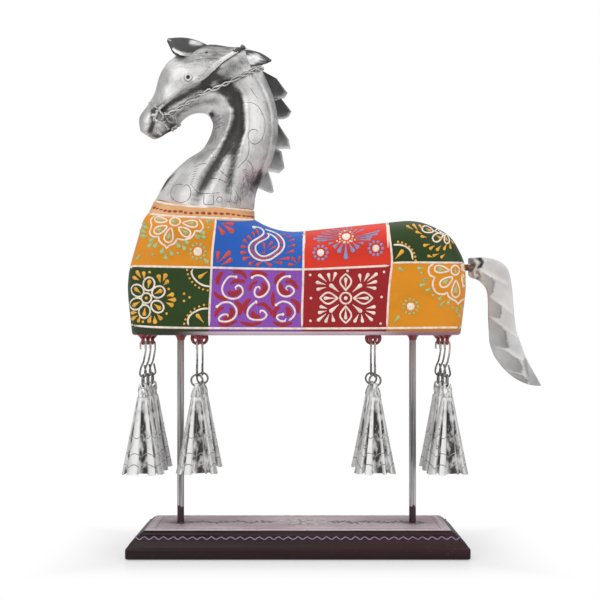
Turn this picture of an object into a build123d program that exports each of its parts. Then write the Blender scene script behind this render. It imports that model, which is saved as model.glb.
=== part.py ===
from build123d import *
from math import atan, cos, degrees, pi, radians, sin
import os

# A painted wooden horse with a sheet-metal head, on two rods above a moulded base, with ten hanging bells.
# Millimetres. The origin is the middle of the base's underside, +X runs toward the tail and +Z up.

# Base
base_length = 240.0
base_width = 97.0
base_height = 18.8
base_foot = 7.8
base_bevel = 12.5

# Posts
post_radius = 2.5
post_fit = 0.05
front_post_x = -86.0
rear_post_x = 84.0
post_depth_in_base = 14.0
post_depth_in_body = 34.0

# Wooden body
body_length = 246.0
body_height = 83.0
body_width = 72.0
body_underside = 156.0
body_round = 20.0

# Collar, the oval seat that the neck stands on
collar_front_x = -104.8
collar_front_rise = 99.0
collar_back_x = -32.0
collar_back_rise = 92.2
collar_width = 55.5
collar_depth = 26.0
collar_front_flare = 13.0
collar_back_flare = 3.0
collar_side_flare = 7.0

# Sheet-metal head and neck, and the wooden plug inside
muzzle_x = -117.0
head_length = 102.4
head_height = 121.0
head_width = 54.0
sheet = 1.0
plug_height = 13.0
plug_clear = 0.3

# Mane, forelock and ears
mane_sheet = 1.4
leaf_sheet = 1.2
forelock_sheet = 2.4
forelock_half_width = 9.5
forelock_drop = 15.0
ear_half_width = 5.5
ear_drop = 2.0

# Bridle, eye studs and ear nails
strap_width = 2.8
strap_thickness = 1.6
rein_radius = 1.5
band_width = 3.0
band_thickness = 0.9
band_step = 7.0
band_gap = 2.0
stud_radius = 3.1
stud_height = 1.5
nail_radius = 1.2
nail_height = 0.7

# Tail and its peg
tail_root_x = 124.0
tail_top_above_peg = 8.0
tail_length = 55.0
tail_drop = 95.0
tail_thickness = 9.0
peg_radius = 2.4
peg_length = 30.0
peg_depth_in_tail = 9.0
peg_rise = 49.6
peg_fit = 0.05

# Screw eyes
eye_wire = 0.95
eye_radius = 2.5
eye_gap = 0.25
shank_radius = 1.2
shank_depth = 12.0
shank_fit = 0.05

# Hooks and rings
hook_wire = 0.65
hook_clear = 0.25
hook_drop = 23.6
hook_bend = 2.2
hook_tail = 4.0
hook_return = 6.8
ring_wire = 0.65
ring_radius = 4.05
ring_clear = 0.2

# Bells
bell_mouth_x = 30.5
bell_mouth_y = 24.0
bell_skirt_height = 54.6
bell_neck_height = 10.0
bell_shoulder_x = 8.4
bell_wall = 0.7
bell_roof = 3.0
bell_neck_width = 6.2
bell_neck_thickness = 3.4
bell_hole_radius = 1.7
bell_hole_clear = 0.95
bell_crown = 0.6

# Where the bells hang: X of each set, and the step across it
chest_set_x = -110.0
front_set_x = -72.0
rear_set_x = 55.0
rump_set_x = 106.0
end_spacing = 27.5
side_spacing = 24.0

# Counts and shares
wire_sides = 6
hoop_sides = 10
hole_sides = 8
trunk_stops = 80
round_steps = 5
bend_steps = 4
bell_flutes = 8
head_facets = 7
flute_share = 0.1
flat_limit = 1e-9
neck_foot_share = 0.8
wire_lean_share = 0.35
skin_power = 2.2

# Corners of the trunk's side outline as shares of its length and height, run on below the underside,
# and the radius that rounds each
body_corner_shares = [
    (-0.474, -0.300), (-0.502, 0.482), (-0.445, 1.072), (-0.374, 1.133), (-0.163, 1.072), (-0.061, 0.878),
    (0.350, 1.002), (0.447, 0.867), (0.490, 0.627), (0.491, 0.386), (0.463, -0.300),
]
body_corner_radii = [70.0, 16.0, 40.0, 30.0, 50.0, 40.0, 25.0, 30.0, 60.0]

# Cuts across the neck and head: front point, back point and half width, as shares of the head's sizes
head_section_shares = [
    ((0.125, 0.058), (0.825, 0.002), 0.500),
    ((0.174, 0.139), (0.850, 0.116), 0.480),
    ((0.229, 0.207), (0.923, 0.223), 0.450),
    ((0.347, 0.301), (0.979, 0.345), 0.410),
    ((0.458, 0.364), (1.000, 0.455), 0.370),
    ((0.516, 0.446), (0.999, 0.554), 0.340),
    ((0.534, 0.508), (0.974, 0.669), 0.320),
    ((0.523, 0.542), (0.908, 0.802), 0.310),
    ((0.498, 0.570), (0.791, 0.925), 0.310),
    ((0.459, 0.583), (0.654, 0.975), 0.325),
    ((0.400, 0.580), (0.479, 0.975), 0.345),
    ((0.341, 0.555), (0.257, 0.917), 0.330),
    ((0.300, 0.521), (0.161, 0.830), 0.285),
    ((0.259, 0.486), (0.118, 0.711), 0.235),
    ((0.205, 0.462), (0.068, 0.635), 0.205),
    ((0.151, 0.433), (0.007, 0.557), 0.190),
    ((0.112, 0.425), (0.014, 0.476), 0.120),
]

# Outlines of the leaves of sheet on the neck and poll, as shares of the head's length and height
mane_leaf_shares = [
    [
        (0.80, 0.84), (0.885, 0.841), (0.990, 0.793), (1.038, 0.738), (1.068, 0.706), (1.047, 0.678),
        (0.90, 0.69),
    ],
    [(0.93, 0.66), (1.010, 0.669), (1.096, 0.593), (1.077, 0.564), (1.042, 0.548), (0.93, 0.545)],
    [(0.94, 0.53), (0.999, 0.523), (1.077, 0.423), (1.090, 0.369), (0.93, 0.375)],
    [(0.92, 0.355), (0.975, 0.364), (1.025, 0.348), (1.047, 0.253), (1.007, 0.220), (0.87, 0.24)],
    [(0.86, 0.210), (0.933, 0.215), (0.956, 0.170), (0.970, 0.107), (0.948, 0.098), (0.80, 0.15)],
]
# Leaf outline: how far along the leaf, and how wide there
leaf_profile_shares = [(0.0, 0.30), (0.22, 0.85), (0.50, 1.0), (0.80, 0.60), (1.0, 0.06)]
forelock_root_share = (0.490, 0.985, 0.0)
forelock_tip_share = (0.205, 1.045, 0.0)
ear_root_share = (0.720, 0.925, 0.16)
ear_tip_share = (0.955, 0.888, 0.50)
ear_facing = (0.3, 0.75, 0.6)

# Routes over the side of the head, as shares of its length and height
cheek_shares = [
    (0.690, 0.910), (0.640, 0.895), (0.520, 0.840), (0.405, 0.775), (0.290, 0.705), (0.165, 0.615),
]
rein_shares = [
    (0.845, 0.845), (0.760, 0.815), (0.634, 0.774), (0.486, 0.714), (0.360, 0.655), (0.260, 0.610),
    (0.180, 0.577),
]
eye_share = (0.354, 0.802)
nail_share = (0.486, 0.945)
band_top_share = (0.078, 0.652)
band_foot_share = (0.230, 0.474)

# Cuts across the tail: outer edge, inner edge, thickness, and where the ridge lies between the edges
tail_section_shares = [
    ((0.015, 0.985), (0.035, 0.850), 0.90, 0.50),
    ((0.218, 0.999), (0.178, 0.806), 1.00, 0.42),
    ((0.391, 0.973), (0.229, 0.773), 1.00, 0.58),
    ((0.518, 0.925), (0.269, 0.720), 0.95, 0.42),
    ((0.613, 0.688), (0.287, 0.531), 0.90, 0.60),
    ((0.636, 0.499), (0.296, 0.394), 0.85, 0.40),
    ((0.673, 0.373), (0.336, 0.294), 0.80, 0.60),
    ((0.776, 0.239), (0.455, 0.173), 0.65, 0.40),
    ((0.891, 0.109), (0.655, 0.065), 0.50, 0.55),
    ((0.985, 0.012), (0.930, 0.000), 0.15, 0.50),
]


# Heights of the collar, the head and the tail, all carried by the body
collar_front_z = body_underside + collar_front_rise
collar_back_z = body_underside + collar_back_rise
peg_z = body_underside + peg_rise
tail_tip_z = peg_z + tail_top_above_peg - tail_drop


# Every place where a bell hangs: its name, X and Y, and whether its set is across an end of the body
def hanging_places():
    sets = [
        ("chest", chest_set_x, True),
        ("front", front_set_x, False),
        ("rear", rear_set_x, False),
        ("rump", rump_set_x, True),
    ]
    places = []
    for name, x, across_end in sets:
        spacing = end_spacing if across_end else side_spacing
        for side, step in (("near", -1), ("middle", 0), ("far", 1)):
            if step or across_end:
                places.append((f"{name}_{side}", x, step * spacing, across_end))
    return places


# Closed solid through rings of corner points, each step between two rings filled with flat facets
def faceted_form(rings):
    faces = [Face(Wire.make_polygon(ring, close=True)) for ring in (rings[0], rings[-1])]
    for ring, above in zip(rings, rings[1:]):
        for n in range(len(ring)):
            a, b, c, d = ring[n - 1], ring[n], above[n], above[n - 1]
            flat = abs((b - a).cross(c - a).dot(d - a)) < flat_limit * (c - a).length**3
            for corners in [(a, b, c, d)] if flat else [(a, b, c), (a, c, d)]:
                faces.append(Face(Wire.make_polygon(corners, close=True)))
    return Solid(Shell(faces))


# Plinth with a straight foot, a bevelled edge and a blind hole for each post
def make_base():
    foot = Pos(0, 0, base_foot / 2) * Box(base_length, base_width, base_foot)
    rise = base_height - base_foot
    slope = degrees(atan(base_bevel / rise))
    plinth = foot + extrude(Plane.XY.offset(base_foot) * Rectangle(base_length, base_width), rise, taper=slope)
    hole = Cylinder(post_radius + post_fit, post_depth_in_base)
    for x in (front_post_x, rear_post_x):
        plinth -= Pos(x, 0, base_height - post_depth_in_base / 2) * hole
    return plinth


# Round rod from the bottom of its hole in the base to the end of its hole in the body
def make_post(x):
    bottom = base_height - post_depth_in_base
    top = body_underside + post_depth_in_body
    return Pos(x, 0, (bottom + top) / 2) * Cylinder(post_radius, top - bottom)


# The collar's sloping top, as a plane whose X runs back along the slope
def collar_plane():
    front = Vector(collar_front_x, 0, collar_front_z)
    back = Vector(collar_back_x, 0, collar_back_z)
    return Plane(origin=(front + back) / 2, x_dir=back - front, z_dir=(back - front).cross(Vector(0, 1, 0)))


# Oval seat raised on the shoulder, spreading toward its foot and most of all down the chest
def make_collar():
    run = Vector(collar_back_x - collar_front_x, 0, collar_back_z - collar_front_z)
    spread = (collar_front_flare + collar_back_flare) / 2
    lean = (collar_back_flare - collar_front_flare) / 2
    top = collar_plane() * Ellipse(run.length / 2, collar_width / 2)
    lower = collar_plane().offset(-collar_depth) * Pos(lean, 0)
    return loft([lower * Ellipse(run.length / 2 + spread, collar_width / 2 + collar_side_flare), top])


# Metal peg in the rump that carries the tail, or the bore for it when given a clearance
def tail_peg(clearance=0.0):
    middle = tail_root_x + peg_depth_in_tail - peg_length / 2
    return Pos(middle, 0, peg_z) * Rot(0, 90, 0) * Cylinder(peg_radius + clearance, peg_length)


# Rounded trunk: its side outline drawn in step by step toward each side, as the rounded edge falls away
def make_trunk():
    corners = [(x * body_length, body_underside + z * body_height) for x, z in body_corner_shares]
    back = FilletPolyline(*corners, radius=body_corner_radii)
    angles = [pi / 2 * n / round_steps for n in range(round_steps + 1)]
    far = [(body_width / 2 - body_round * (1 - cos(a)), body_round * (1 - sin(a))) for a in angles]
    rings = []
    for y, inset in [(-y, inset) for y, inset in far] + far[::-1]:
        ring = []
        for n in range(trunk_stops + 1):
            stop = back @ (n / trunk_stops)
            heading = back % (n / trunk_stops)
            ring.append(Vector(stop.X + heading.Y * inset, y, stop.Y - heading.X * inset))
        rings.append(ring)
    below = Pos(0, 0, body_underside - body_height / 2) * Box(2 * body_length, 2 * body_width, body_height)
    return faceted_form(rings) - below


# Trunk with the collar raised on its shoulder, bored for the posts, the screw eyes and the tail's peg
def make_body():
    body = make_trunk() + make_collar()
    bore = Cylinder(post_radius + post_fit, post_depth_in_body)
    for x in (front_post_x, rear_post_x):
        body -= Pos(x, 0, body_underside + post_depth_in_body / 2) * bore
    pilot = Cylinder(shank_radius + shank_fit, shank_depth)
    for _, x, y, _ in hanging_places():
        body -= Pos(x, y, body_underside + shank_depth / 2) * pilot
    return body - tail_peg(peg_fit)


# A place on the head, from shares of its length, its height and half its width
def head_point(x_share, z_share, y_share=0.0):
    x = muzzle_x + x_share * head_length
    z = collar_back_z + z_share * head_height
    return Vector(x, y_share * head_width / 2, z)


# One cut across the neck or head, its corner points in turn from the front edge round the far side
def head_ring(row, inset):
    (front_x, front_z), (back_x, back_z), half_share = row
    front = head_point(front_x, front_z)
    back = head_point(back_x, back_z)
    along = (back - front).normalized()
    front += along * inset
    back -= along * inset
    half = half_share * head_width - inset
    shares = [(1 - cos(pi * n / head_facets)) / 2 for n in range(head_facets + 1)]
    side = [(share, half * (1 - abs(2 * share - 1) ** skin_power)) for share in shares]
    far = [front + (back - front) * share + Vector(0, out, 0) for share, out in side]
    near = [front + (back - front) * share - Vector(0, out, 0) for share, out in reversed(side[1:-1])]
    return far + near


# The whole form of the head and neck, or what lies inside its skin when given an inset
def head_form(inset=0.0, rows=head_section_shares):
    return faceted_form([head_ring(row, inset) for row in rows])


# Where a line across the head at these shares of its length and height comes out of the form
def head_side(share, side, form):
    middle = head_point(*share)
    hits = form.find_intersection_points(Axis(middle, (0, side, 0)))
    return max((point for point, _ in hits), key=lambda point: side * point.Y)


# Everything on one side of the middle plane: side -1 is near and 1 is far
def side_room(side):
    reach = head_length + head_height
    return Pos(muzzle_x, side * reach, collar_back_z) * Box(4 * reach, 2 * reach, 4 * reach)


# Everything above the collar's top
def room_above_collar():
    reach = head_length + head_height
    return collar_plane().offset(reach) * Box(4 * reach, 4 * reach, 2 * reach)


# Wooden plug that fills the foot of the neck, standing on the collar
def make_neck_plug():
    core = head_form(sheet + plug_clear, head_section_shares[:3])
    return core & (collar_plane().offset(plug_height / 2) * Box(2 * head_length, 2 * head_width, plug_height))


# Leaf-shaped tooth of sheet in the middle plane, its root cut to lie on the neck's back seam
def make_mane_leaf(shares, head):
    flat = make_face(Polyline(*[head_point(x, z) for x, z in shares], close=True))
    return extrude(flat, mane_sheet / 2, dir=(0, 1, 0), both=True) - head


# Leaf of sheet creased along its middle, from its root on the head out to its tip
def make_creased_leaf(root, tip, facing, half_width, drop, thickness, head):
    along = (tip - root).normalized()
    across = Vector(*facing).cross(along).normalized()
    up = along.cross(across)
    rings = []
    for run_share, width_share in leaf_profile_shares:
        crease = root + (tip - root) * run_share
        edge = across * (half_width * width_share)
        fall = up * (drop * width_share)
        upper = [crease - edge - fall, crease, crease + edge - fall]
        rings.append(upper + [point - up * thickness for point in reversed(upper)])
    return faceted_form(rings) - head


# Near or far ear, its root on the poll
def make_ear(side, head):
    root_x, root_z, root_y = ear_root_share
    tip_x, tip_z, tip_y = ear_tip_share
    root = head_point(root_x, root_z, side * root_y)
    tip = head_point(tip_x, tip_z, side * tip_y)
    facing = (ear_facing[0], side * ear_facing[1], ear_facing[2])
    return make_creased_leaf(root, tip, facing, ear_half_width, ear_drop, leaf_sheet, head)


# Strip or wire laid along the side of the head, its underside cut to lie on the sheet
def make_rein(shares, side, section, head):
    path = Polyline(*[head_side(share, side, head) for share in shares])
    start = Plane(origin=path @ 0, x_dir=(0, 0, 1), z_dir=path % 0)
    return sweep(start * section, path=path, transition=Transition.RIGHT) - head


# Strip bent round the muzzle in a slanting plane; a step moves it back toward the jaw
def make_nose_strip(step):
    top = head_point(*band_top_share)
    foot = head_point(*band_foot_share)
    back = (foot - top).cross(Vector(0, 1, 0)).normalized()
    plane = Plane(origin=(top + foot) / 2 + back * step, x_dir=(0, 1, 0), z_dir=back)
    slice_room = plane * Box(head_width, head_width, band_width)
    return (head_form(-band_thickness) & slice_room) - head_form()


# Everything below the feet of the reins
def below_rein():
    reach = head_length + head_height
    level = head_point(*rein_shares[-1]).Z - band_gap
    return Pos(muzzle_x, 0, level - reach) * Box(4 * reach, 4 * reach, 2 * reach)


# Round stud or nail head on the side of the head
def make_stud(share, side, radius, height, head):
    centre = head_side(share, side, head)
    return Pos(*centre) * Rot(90, 0, 0) * Cylinder(radius, 2 * height) - head


# Diamond-shaped cuts from the tail's socket down to its tip, with the ridge crossing over between them
def make_tail():
    sections = []
    for (out_x, out_z), (in_x, in_z), thick_share, ridge_share in tail_section_shares:
        outer = Vector(tail_root_x + out_x * tail_length, 0, tail_tip_z + out_z * tail_drop)
        inner = Vector(tail_root_x + in_x * tail_length, 0, tail_tip_z + in_z * tail_drop)
        ridge = outer + (inner - outer) * ridge_share
        half = Vector(0, thick_share * tail_thickness / 2, 0)
        sections.append([outer, ridge - half, inner, ridge + half])
    return faceted_form(sections) - tail_peg(peg_fit)


# Corner points round part of a circle that stands upright and runs along the level direction
def arc_points(centre, level, radius, first, last, steps):
    angles = [radians(first + (last - first) * n / steps) for n in range(steps + 1)]
    return [centre + level * (radius * cos(a)) + Vector(0, 0, radius * sin(a)) for a in angles]


# Wire bent along corner points, with a six-sided section
def bent_wire(points, wire, closed=False):
    path = Polyline(*points, close=closed)
    start = Plane(origin=path @ 0, z_dir=path % 0)
    return sweep(start * RegularPolygon(wire, wire_sides), path=path, transition=Transition.RIGHT)


# Round hoop of wire, its path begun and closed in the middle of one side
def wire_hoop(centre, level, radius, wire):
    corners = arc_points(centre, level, radius, 90, 450, hoop_sides)[:-1]
    return bent_wire([(corners[0] + corners[-1]) / 2] + corners, wire, closed=True)


# Directions of one bell's chain: along the screw eye's hoop, and along the hook's plane
def chain_directions(across_end):
    if across_end:
        return Vector(0, 1, 0), Vector(1, 0, 0)
    return Vector(1, 0, 0), Vector(0, 1, 0)


# Heights down one chain, each worked out from the link above
eye_z = body_underside - eye_gap - eye_wire - eye_radius
hook_pivot_z = eye_z - eye_radius
hook_foot_z = hook_pivot_z - hook_drop
ring_z = hook_foot_z - ring_radius + hook_wire + ring_wire + ring_clear
bell_pivot_z = ring_z - ring_radius
bell_hole_z = bell_pivot_z + ring_wire + bell_hole_clear - bell_hole_radius
bell_top_z = bell_hole_z + bell_hole_radius + bell_crown
bell_shoulder_z = bell_top_z - bell_neck_height
bell_mouth_z = bell_shoulder_z - bell_skirt_height


# Screw with a ring for a head, turned up into the underside
def make_screw_eye(x, y, across_end):
    along_eye, _ = chain_directions(across_end)
    hoop = wire_hoop(Vector(x, y, eye_z), along_eye, eye_radius, eye_wire)
    bottom = eye_z + eye_radius
    top = body_underside + shank_depth
    return hoop + Pos(x, y, bottom) * extrude(RegularPolygon(shank_radius, wire_sides), top - bottom)


# Long wire hook: a bend over the eye with a short tail, a straight drop, and a bend below that turns back up
def make_hook(x, y, across_end):
    _, along_hook = chain_directions(across_end)
    top_bend = eye_wire + hook_clear + hook_wire
    pivot = Vector(x, y, hook_pivot_z)
    foot = Vector(x, y, hook_foot_z + hook_bend)
    tail = pivot - along_hook * top_bend - Vector(0, 0, hook_tail)
    end = foot - along_hook * (hook_bend * wire_lean_share) + Vector(0, 0, hook_return)
    over = arc_points(pivot, along_hook, top_bend, 180, 0, bend_steps)
    under = arc_points(foot, along_hook, hook_bend, 0, -180, bend_steps)
    return bent_wire([tail] + over + under + [end], hook_wire)


def make_ring(x, y, across_end):
    along_eye, _ = chain_directions(across_end)
    return wire_hoop(Vector(x, y, ring_z), along_eye, ring_radius, ring_wire)


# Corner points of a fluted oval, with ridges and valleys in turn
def fluted_ring(half_x, half_y, z, depth_share):
    points = []
    for n in range(2 * bell_flutes):
        share = 1 - depth_share * (n % 2)
        angle = pi * n / bell_flutes
        points.append(Vector(half_x * share * cos(angle), half_y * share * sin(angle), z))
    return points


# Pleated cone of sheet, open below, with a pinched neck that the ring passes through
def make_bell(x, y, across_end):
    oval = bell_mouth_y / bell_mouth_x
    half_mouth = bell_mouth_x / 2
    half_shoulder = bell_shoulder_x / 2
    slope = (half_mouth - half_shoulder) / (bell_shoulder_z - bell_mouth_z)
    roof_z = bell_shoulder_z - bell_roof
    half_roof = half_shoulder + slope * bell_roof
    skirt = faceted_form([
        fluted_ring(half_mouth, half_mouth * oval, bell_mouth_z, flute_share),
        fluted_ring(half_shoulder, half_shoulder * oval, bell_shoulder_z, flute_share),
    ])
    hollow = faceted_form([
        fluted_ring(half_mouth - bell_wall, (half_mouth - bell_wall) * oval, bell_mouth_z, flute_share),
        fluted_ring(half_roof - bell_wall, (half_roof - bell_wall) * oval, roof_z, flute_share),
    ])
    width, thickness = bell_neck_width / 2, bell_neck_thickness / 2
    crown = (width, thickness) if across_end else (thickness, width)
    foot = half_shoulder * neck_foot_share
    neck = faceted_form([
        fluted_ring(foot, foot * oval, bell_shoulder_z, 0),
        fluted_ring(*crown, bell_top_z, 0),
    ])
    along_eye, _ = chain_directions(across_end)
    hole_plane = Plane(origin=(0, 0, bell_hole_z), z_dir=along_eye)
    hole = extrude(hole_plane * RegularPolygon(bell_hole_radius, hole_sides), bell_neck_width, both=True)
    return Pos(x, y, 0) * (skirt - hollow + neck - hole)


# Everything that is one solid, by its node's name
def make_all():
    nodes = {"base": make_base(), "body": make_body(), "neck_plug": make_neck_plug(), "tail": make_tail()}
    nodes["front_post"] = make_post(front_post_x)
    nodes["rear_post"] = make_post(rear_post_x)
    nodes["tail_peg"] = tail_peg()

    form = head_form()
    shell = (form - head_form(sheet)) & room_above_collar()
    head = form + make_neck_plug()
    strip = Rectangle(strap_width, strap_thickness)
    wire = RegularPolygon(rein_radius, wire_sides)
    for name, side in (("near", -1), ("far", 1)):
        nodes[f"{name}_head_half"] = shell & side_room(side)
        nodes[f"{name}_cheek_strap"] = make_rein(cheek_shares, side, strip, head)
        nodes[f"{name}_rein"] = make_rein(rein_shares, side, wire, head)
        nodes[f"{name}_ear"] = make_ear(side, head)
    nodes["forelock"] = make_creased_leaf(
        head_point(*forelock_root_share), head_point(*forelock_tip_share), (0, 0, 1),
        forelock_half_width, forelock_drop, forelock_sheet, head,
    )
    nodes["noseband"] = make_nose_strip(0)
    nodes["chin_strap"] = make_nose_strip(band_step) & below_rein()
    for number, shares in enumerate(mane_leaf_shares, start=1):
        nodes[f"mane_{number}"] = make_mane_leaf(shares, head)
    nodes["eye_studs"] = [make_stud(eye_share, side, stud_radius, stud_height, head) for side in (-1, 1)]
    nodes["ear_nails"] = [make_stud(nail_share, side, nail_radius, nail_height, head) for side in (-1, 1)]

    nodes["screw_eyes"] = [make_screw_eye(x, y, across_end) for _, x, y, across_end in hanging_places()]
    for name, x, y, across_end in hanging_places():
        nodes[f"{name}_hook"] = make_hook(x, y, across_end)
        nodes[f"{name}_ring"] = make_ring(x, y, across_end)
        nodes[f"{name}_bell"] = make_bell(x, y, across_end)
    return nodes


os.makedirs("parts", exist_ok=True)
for node, made in make_all().items():
    solids = [piece for item in (made if isinstance(made, list) else [made]) for piece in item.solids()]
    export_step(Compound(label=node, children=solids), f"parts/{node}.step")
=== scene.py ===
import math
import random
import bpy
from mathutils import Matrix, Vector
from mathutils.bvhtree import BVHTree


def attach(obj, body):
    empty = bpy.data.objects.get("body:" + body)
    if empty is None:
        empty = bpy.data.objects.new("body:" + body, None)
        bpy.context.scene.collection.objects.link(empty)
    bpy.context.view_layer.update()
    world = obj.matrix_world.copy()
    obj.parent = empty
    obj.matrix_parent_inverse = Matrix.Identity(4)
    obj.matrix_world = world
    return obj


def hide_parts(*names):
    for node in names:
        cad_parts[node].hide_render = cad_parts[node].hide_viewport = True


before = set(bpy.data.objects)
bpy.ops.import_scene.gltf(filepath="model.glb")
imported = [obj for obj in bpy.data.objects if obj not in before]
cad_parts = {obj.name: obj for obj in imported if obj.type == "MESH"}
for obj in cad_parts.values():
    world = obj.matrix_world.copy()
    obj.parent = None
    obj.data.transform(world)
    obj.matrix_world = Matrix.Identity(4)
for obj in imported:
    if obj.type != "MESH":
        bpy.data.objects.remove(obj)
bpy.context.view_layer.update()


# Moulded base: one board of wood with a straight foot, a hollowed bevel and a flat top.
# It is painted glossy dark maroon, with a lavender zigzag on the bevel and a worn floral
# scroll on the plum top. The two rods are driven into holes in it.
mm = 0.001


class Tone:
    """A socket in a finish's node tree. Sums on it add Math nodes, and make() adds any other node."""

    def __init__(self, tree, socket=None):
        self.tree = tree
        self.socket = socket

    def make(self, kind, settings=None, inputs=None, out=0):
        node = self.tree.nodes.new(kind)
        for name, value in (settings or {}).items():
            if name == "stops":
                ramp = node.color_ramp
                while len(ramp.elements) < len(value):
                    ramp.elements.new(1.0)
                for stop, (place, shade) in zip(ramp.elements, value):
                    stop.position = place
                    stop.color = shade if len(shade) == 4 else (*shade, 1.0)
            else:
                setattr(node, name, value)
        for name, value in (inputs or {}).items():
            if isinstance(value, Tone):
                self.tree.links.new(value.socket, node.inputs[name])
            elif isinstance(value, tuple) and len(value) == 3 and node.inputs[name].type == "RGBA":
                node.inputs[name].default_value = (*value, 1.0)
            else:
                node.inputs[name].default_value = value
        return Tone(self.tree, node.outputs[out] if node.outputs else None)

    def sum(self, operation, *values):
        return self.make("ShaderNodeMath", {"operation": operation}, dict(enumerate(values)))

    def __add__(self, other): return self.sum("ADD", self, other)
    def __radd__(self, other): return self.sum("ADD", other, self)
    def __sub__(self, other): return self.sum("SUBTRACT", self, other)
    def __rsub__(self, other): return self.sum("SUBTRACT", other, self)
    def __mul__(self, other): return self.sum("MULTIPLY", self, other)
    def __rmul__(self, other): return self.sum("MULTIPLY", other, self)
    def __truediv__(self, other): return self.sum("DIVIDE", self, other)
    def __gt__(self, other): return self.sum("GREATER_THAN", self, other)
    def __lt__(self, other): return self.sum("LESS_THAN", self, other)

    def clip(self):
        return self.make("ShaderNodeClamp", inputs={"Value": self})

    def step(self, low, high):
        return self.make("ShaderNodeMapRange", {"interpolation_type": "SMOOTHSTEP"},
                         {"Value": self, "From Min": low, "From Max": high})

    def mix(self, under, over, share):
        return self.make("ShaderNodeMix", {"data_type": "RGBA"}, {0: share, 6: under, 7: over}, out=2)

    def place(self):
        return self.make("ShaderNodeTexCoord", out=3)

    def axes(self, vector=None):
        split = self.make("ShaderNodeSeparateXYZ", inputs={0: vector or self.place()})
        return [Tone(self.tree, socket) for socket in split.socket.node.outputs]

    def noise(self, scale, stretch=(1, 1, 1), detail=3.0, rough=0.5, vector=None):
        where = self.make("ShaderNodeMapping", inputs={"Vector": vector or self.place(), "Scale": stretch})
        return self.make("ShaderNodeTexNoise", inputs={"Vector": where, "Scale": scale,
                                                       "Detail": detail, "Roughness": rough})


def finish_named(name, paint):
    """A new finish. paint gets a blank Tone and returns the Principled BSDF's inputs."""
    made = bpy.data.materials.new(name)
    made.use_nodes = True
    tree = made.node_tree
    tree.nodes.clear()
    blank = Tone(tree)
    inputs = paint(blank)
    height = inputs.pop("Height", None)
    if height is not None:
        share, depth, field = height
        inputs["Normal"] = blank.make("ShaderNodeBump", inputs={"Strength": share,
                "Distance": depth, "Height": field})
    shader = blank.make("ShaderNodeBsdfPrincipled", inputs=inputs)
    blank.make("ShaderNodeOutputMaterial", inputs={"Surface": shader})
    return made


def add_piece(name, points, faces, finish, slot, body="horse", smooth=True):
    """A mesh piece from points in millimetres, riding on a body."""
    mesh = bpy.data.meshes.new(name)
    mesh.from_pydata([Vector(p) * mm for p in points], [], faces)
    mesh.update()
    mesh.materials.append(finish)
    mesh.shade_smooth() if smooth else mesh.shade_flat()
    piece = bpy.data.objects.new(name, mesh)
    bpy.context.scene.collection.objects.link(piece)
    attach(piece, body)
    return piece


def skin(rings, closed_rings=True, caps=True):
    """Points and faces of a skin through rings that all have as many points."""
    points, faces, count = [], [], len(rings[0])
    for ring in rings:
        points += ring
    for i in range(len(rings) - 1):
        for j in range(count if closed_rings else count - 1):
            k = (j + 1) % count
            faces.append((i * count + j, i * count + k, (i + 1) * count + k, (i + 1) * count + j))
    if caps:
        faces.append(tuple(reversed(range(count))))
        faces.append(tuple(range((len(rings) - 1) * count, len(rings) * count)))
    return points, faces


base_length, base_width, board_top = 240.0, 97.0, 18.8
rods_x = (-86.0, 84.0)


def maroon_gloss(t):
    x, y, z = t.axes()
    grain = t.noise(60, (0.12, 1, 1), 5)
    specks = t.noise(900, detail=2)
    wood = t.mix((0.013, 0.004, 0.005), (0.032, 0.010, 0.011), grain.step(0.35, 0.75))
    worn = t.mix(wood, (0.16, 0.10, 0.09), specks.step(0.70, 0.76) * grain.step(0.45, 0.60) * 0.6)
    rubbed = t.noise(38, (0.35, 1, 1), 5)
    mauve = t.mix((0.40, 0.285, 0.325), (0.60, 0.49, 0.525), rubbed.step(0.33, 0.62))
    mauve = t.mix(mauve, (0.17, 0.09, 0.11), t.noise(210, (0.6, 1, 1), 4).step(0.60, 0.74) * 0.75)
    rod = t.sum("MINIMUM", *(t.sum("ABSOLUTE", x - rod_x * mm) for rod_x in rods_x))
    mauve = t.mix((0.10, 0.05, 0.06), mauve, (rod + 0.9 * t.sum("ABSOLUTE", y)).step(0.004, 0.016))
    return {"Base Color": t.mix(worn, mauve, z.step(0.01845, 0.0187)), "Roughness": 0.30 + 0.18 * grain,
            "Specular IOR Level": 0.22, "Coat Weight": 0.06, "Coat Roughness": 0.12,
            "Height": (0.18, 0.0006, grain + 0.2 * specks)}


base_edge = [(1.2, 0.0), (0.4, 0.25), (0.0, 1.0), (0.0, 6.8), (0.3, 7.4), (0.9, 7.7), (1.3, 8.1), (1.9, 9.3),
             (2.7, 10.6), (3.7, 11.8), (4.8, 12.9), (5.5, 13.4), (5.8, 13.9), (6.9, 14.9), (8.5, 16.1),
             (8.8, 16.15), (9.0, 16.6), (10.8, 17.9), (11.6, 18.4), (12.3, 18.75), (13.2, board_top)]


def board_ring(inset, z, turns=4, radius=1.6):
    """A rectangle with softened corners, drawn in from the board's outline."""
    half_x, half_y = base_length / 2 - inset - radius, base_width / 2 - inset - radius
    ring = []
    for quarter, (sx, sy) in enumerate([(1, 1), (-1, 1), (-1, -1), (1, -1)]):
        for n in range(turns + 1):
            a = math.radians(90 * (quarter + n / turns))
            ring.append((sx * half_x + radius * math.cos(a), sy * half_y + radius * math.sin(a), z))
    return ring


gloss_maroon = finish_named("gloss maroon paint", maroon_gloss)
base = add_piece("base_board", *skin([board_ring(*p) for p in base_edge]), gloss_maroon, "base_paint")
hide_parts("base")
base.data.set_sharp_from_angle(angle=math.radians(32))


def turns_of(count):
    """As many angles as asked for, spread evenly over a full turn."""
    return [2 * math.pi * k / count for k in range(count)]


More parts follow.
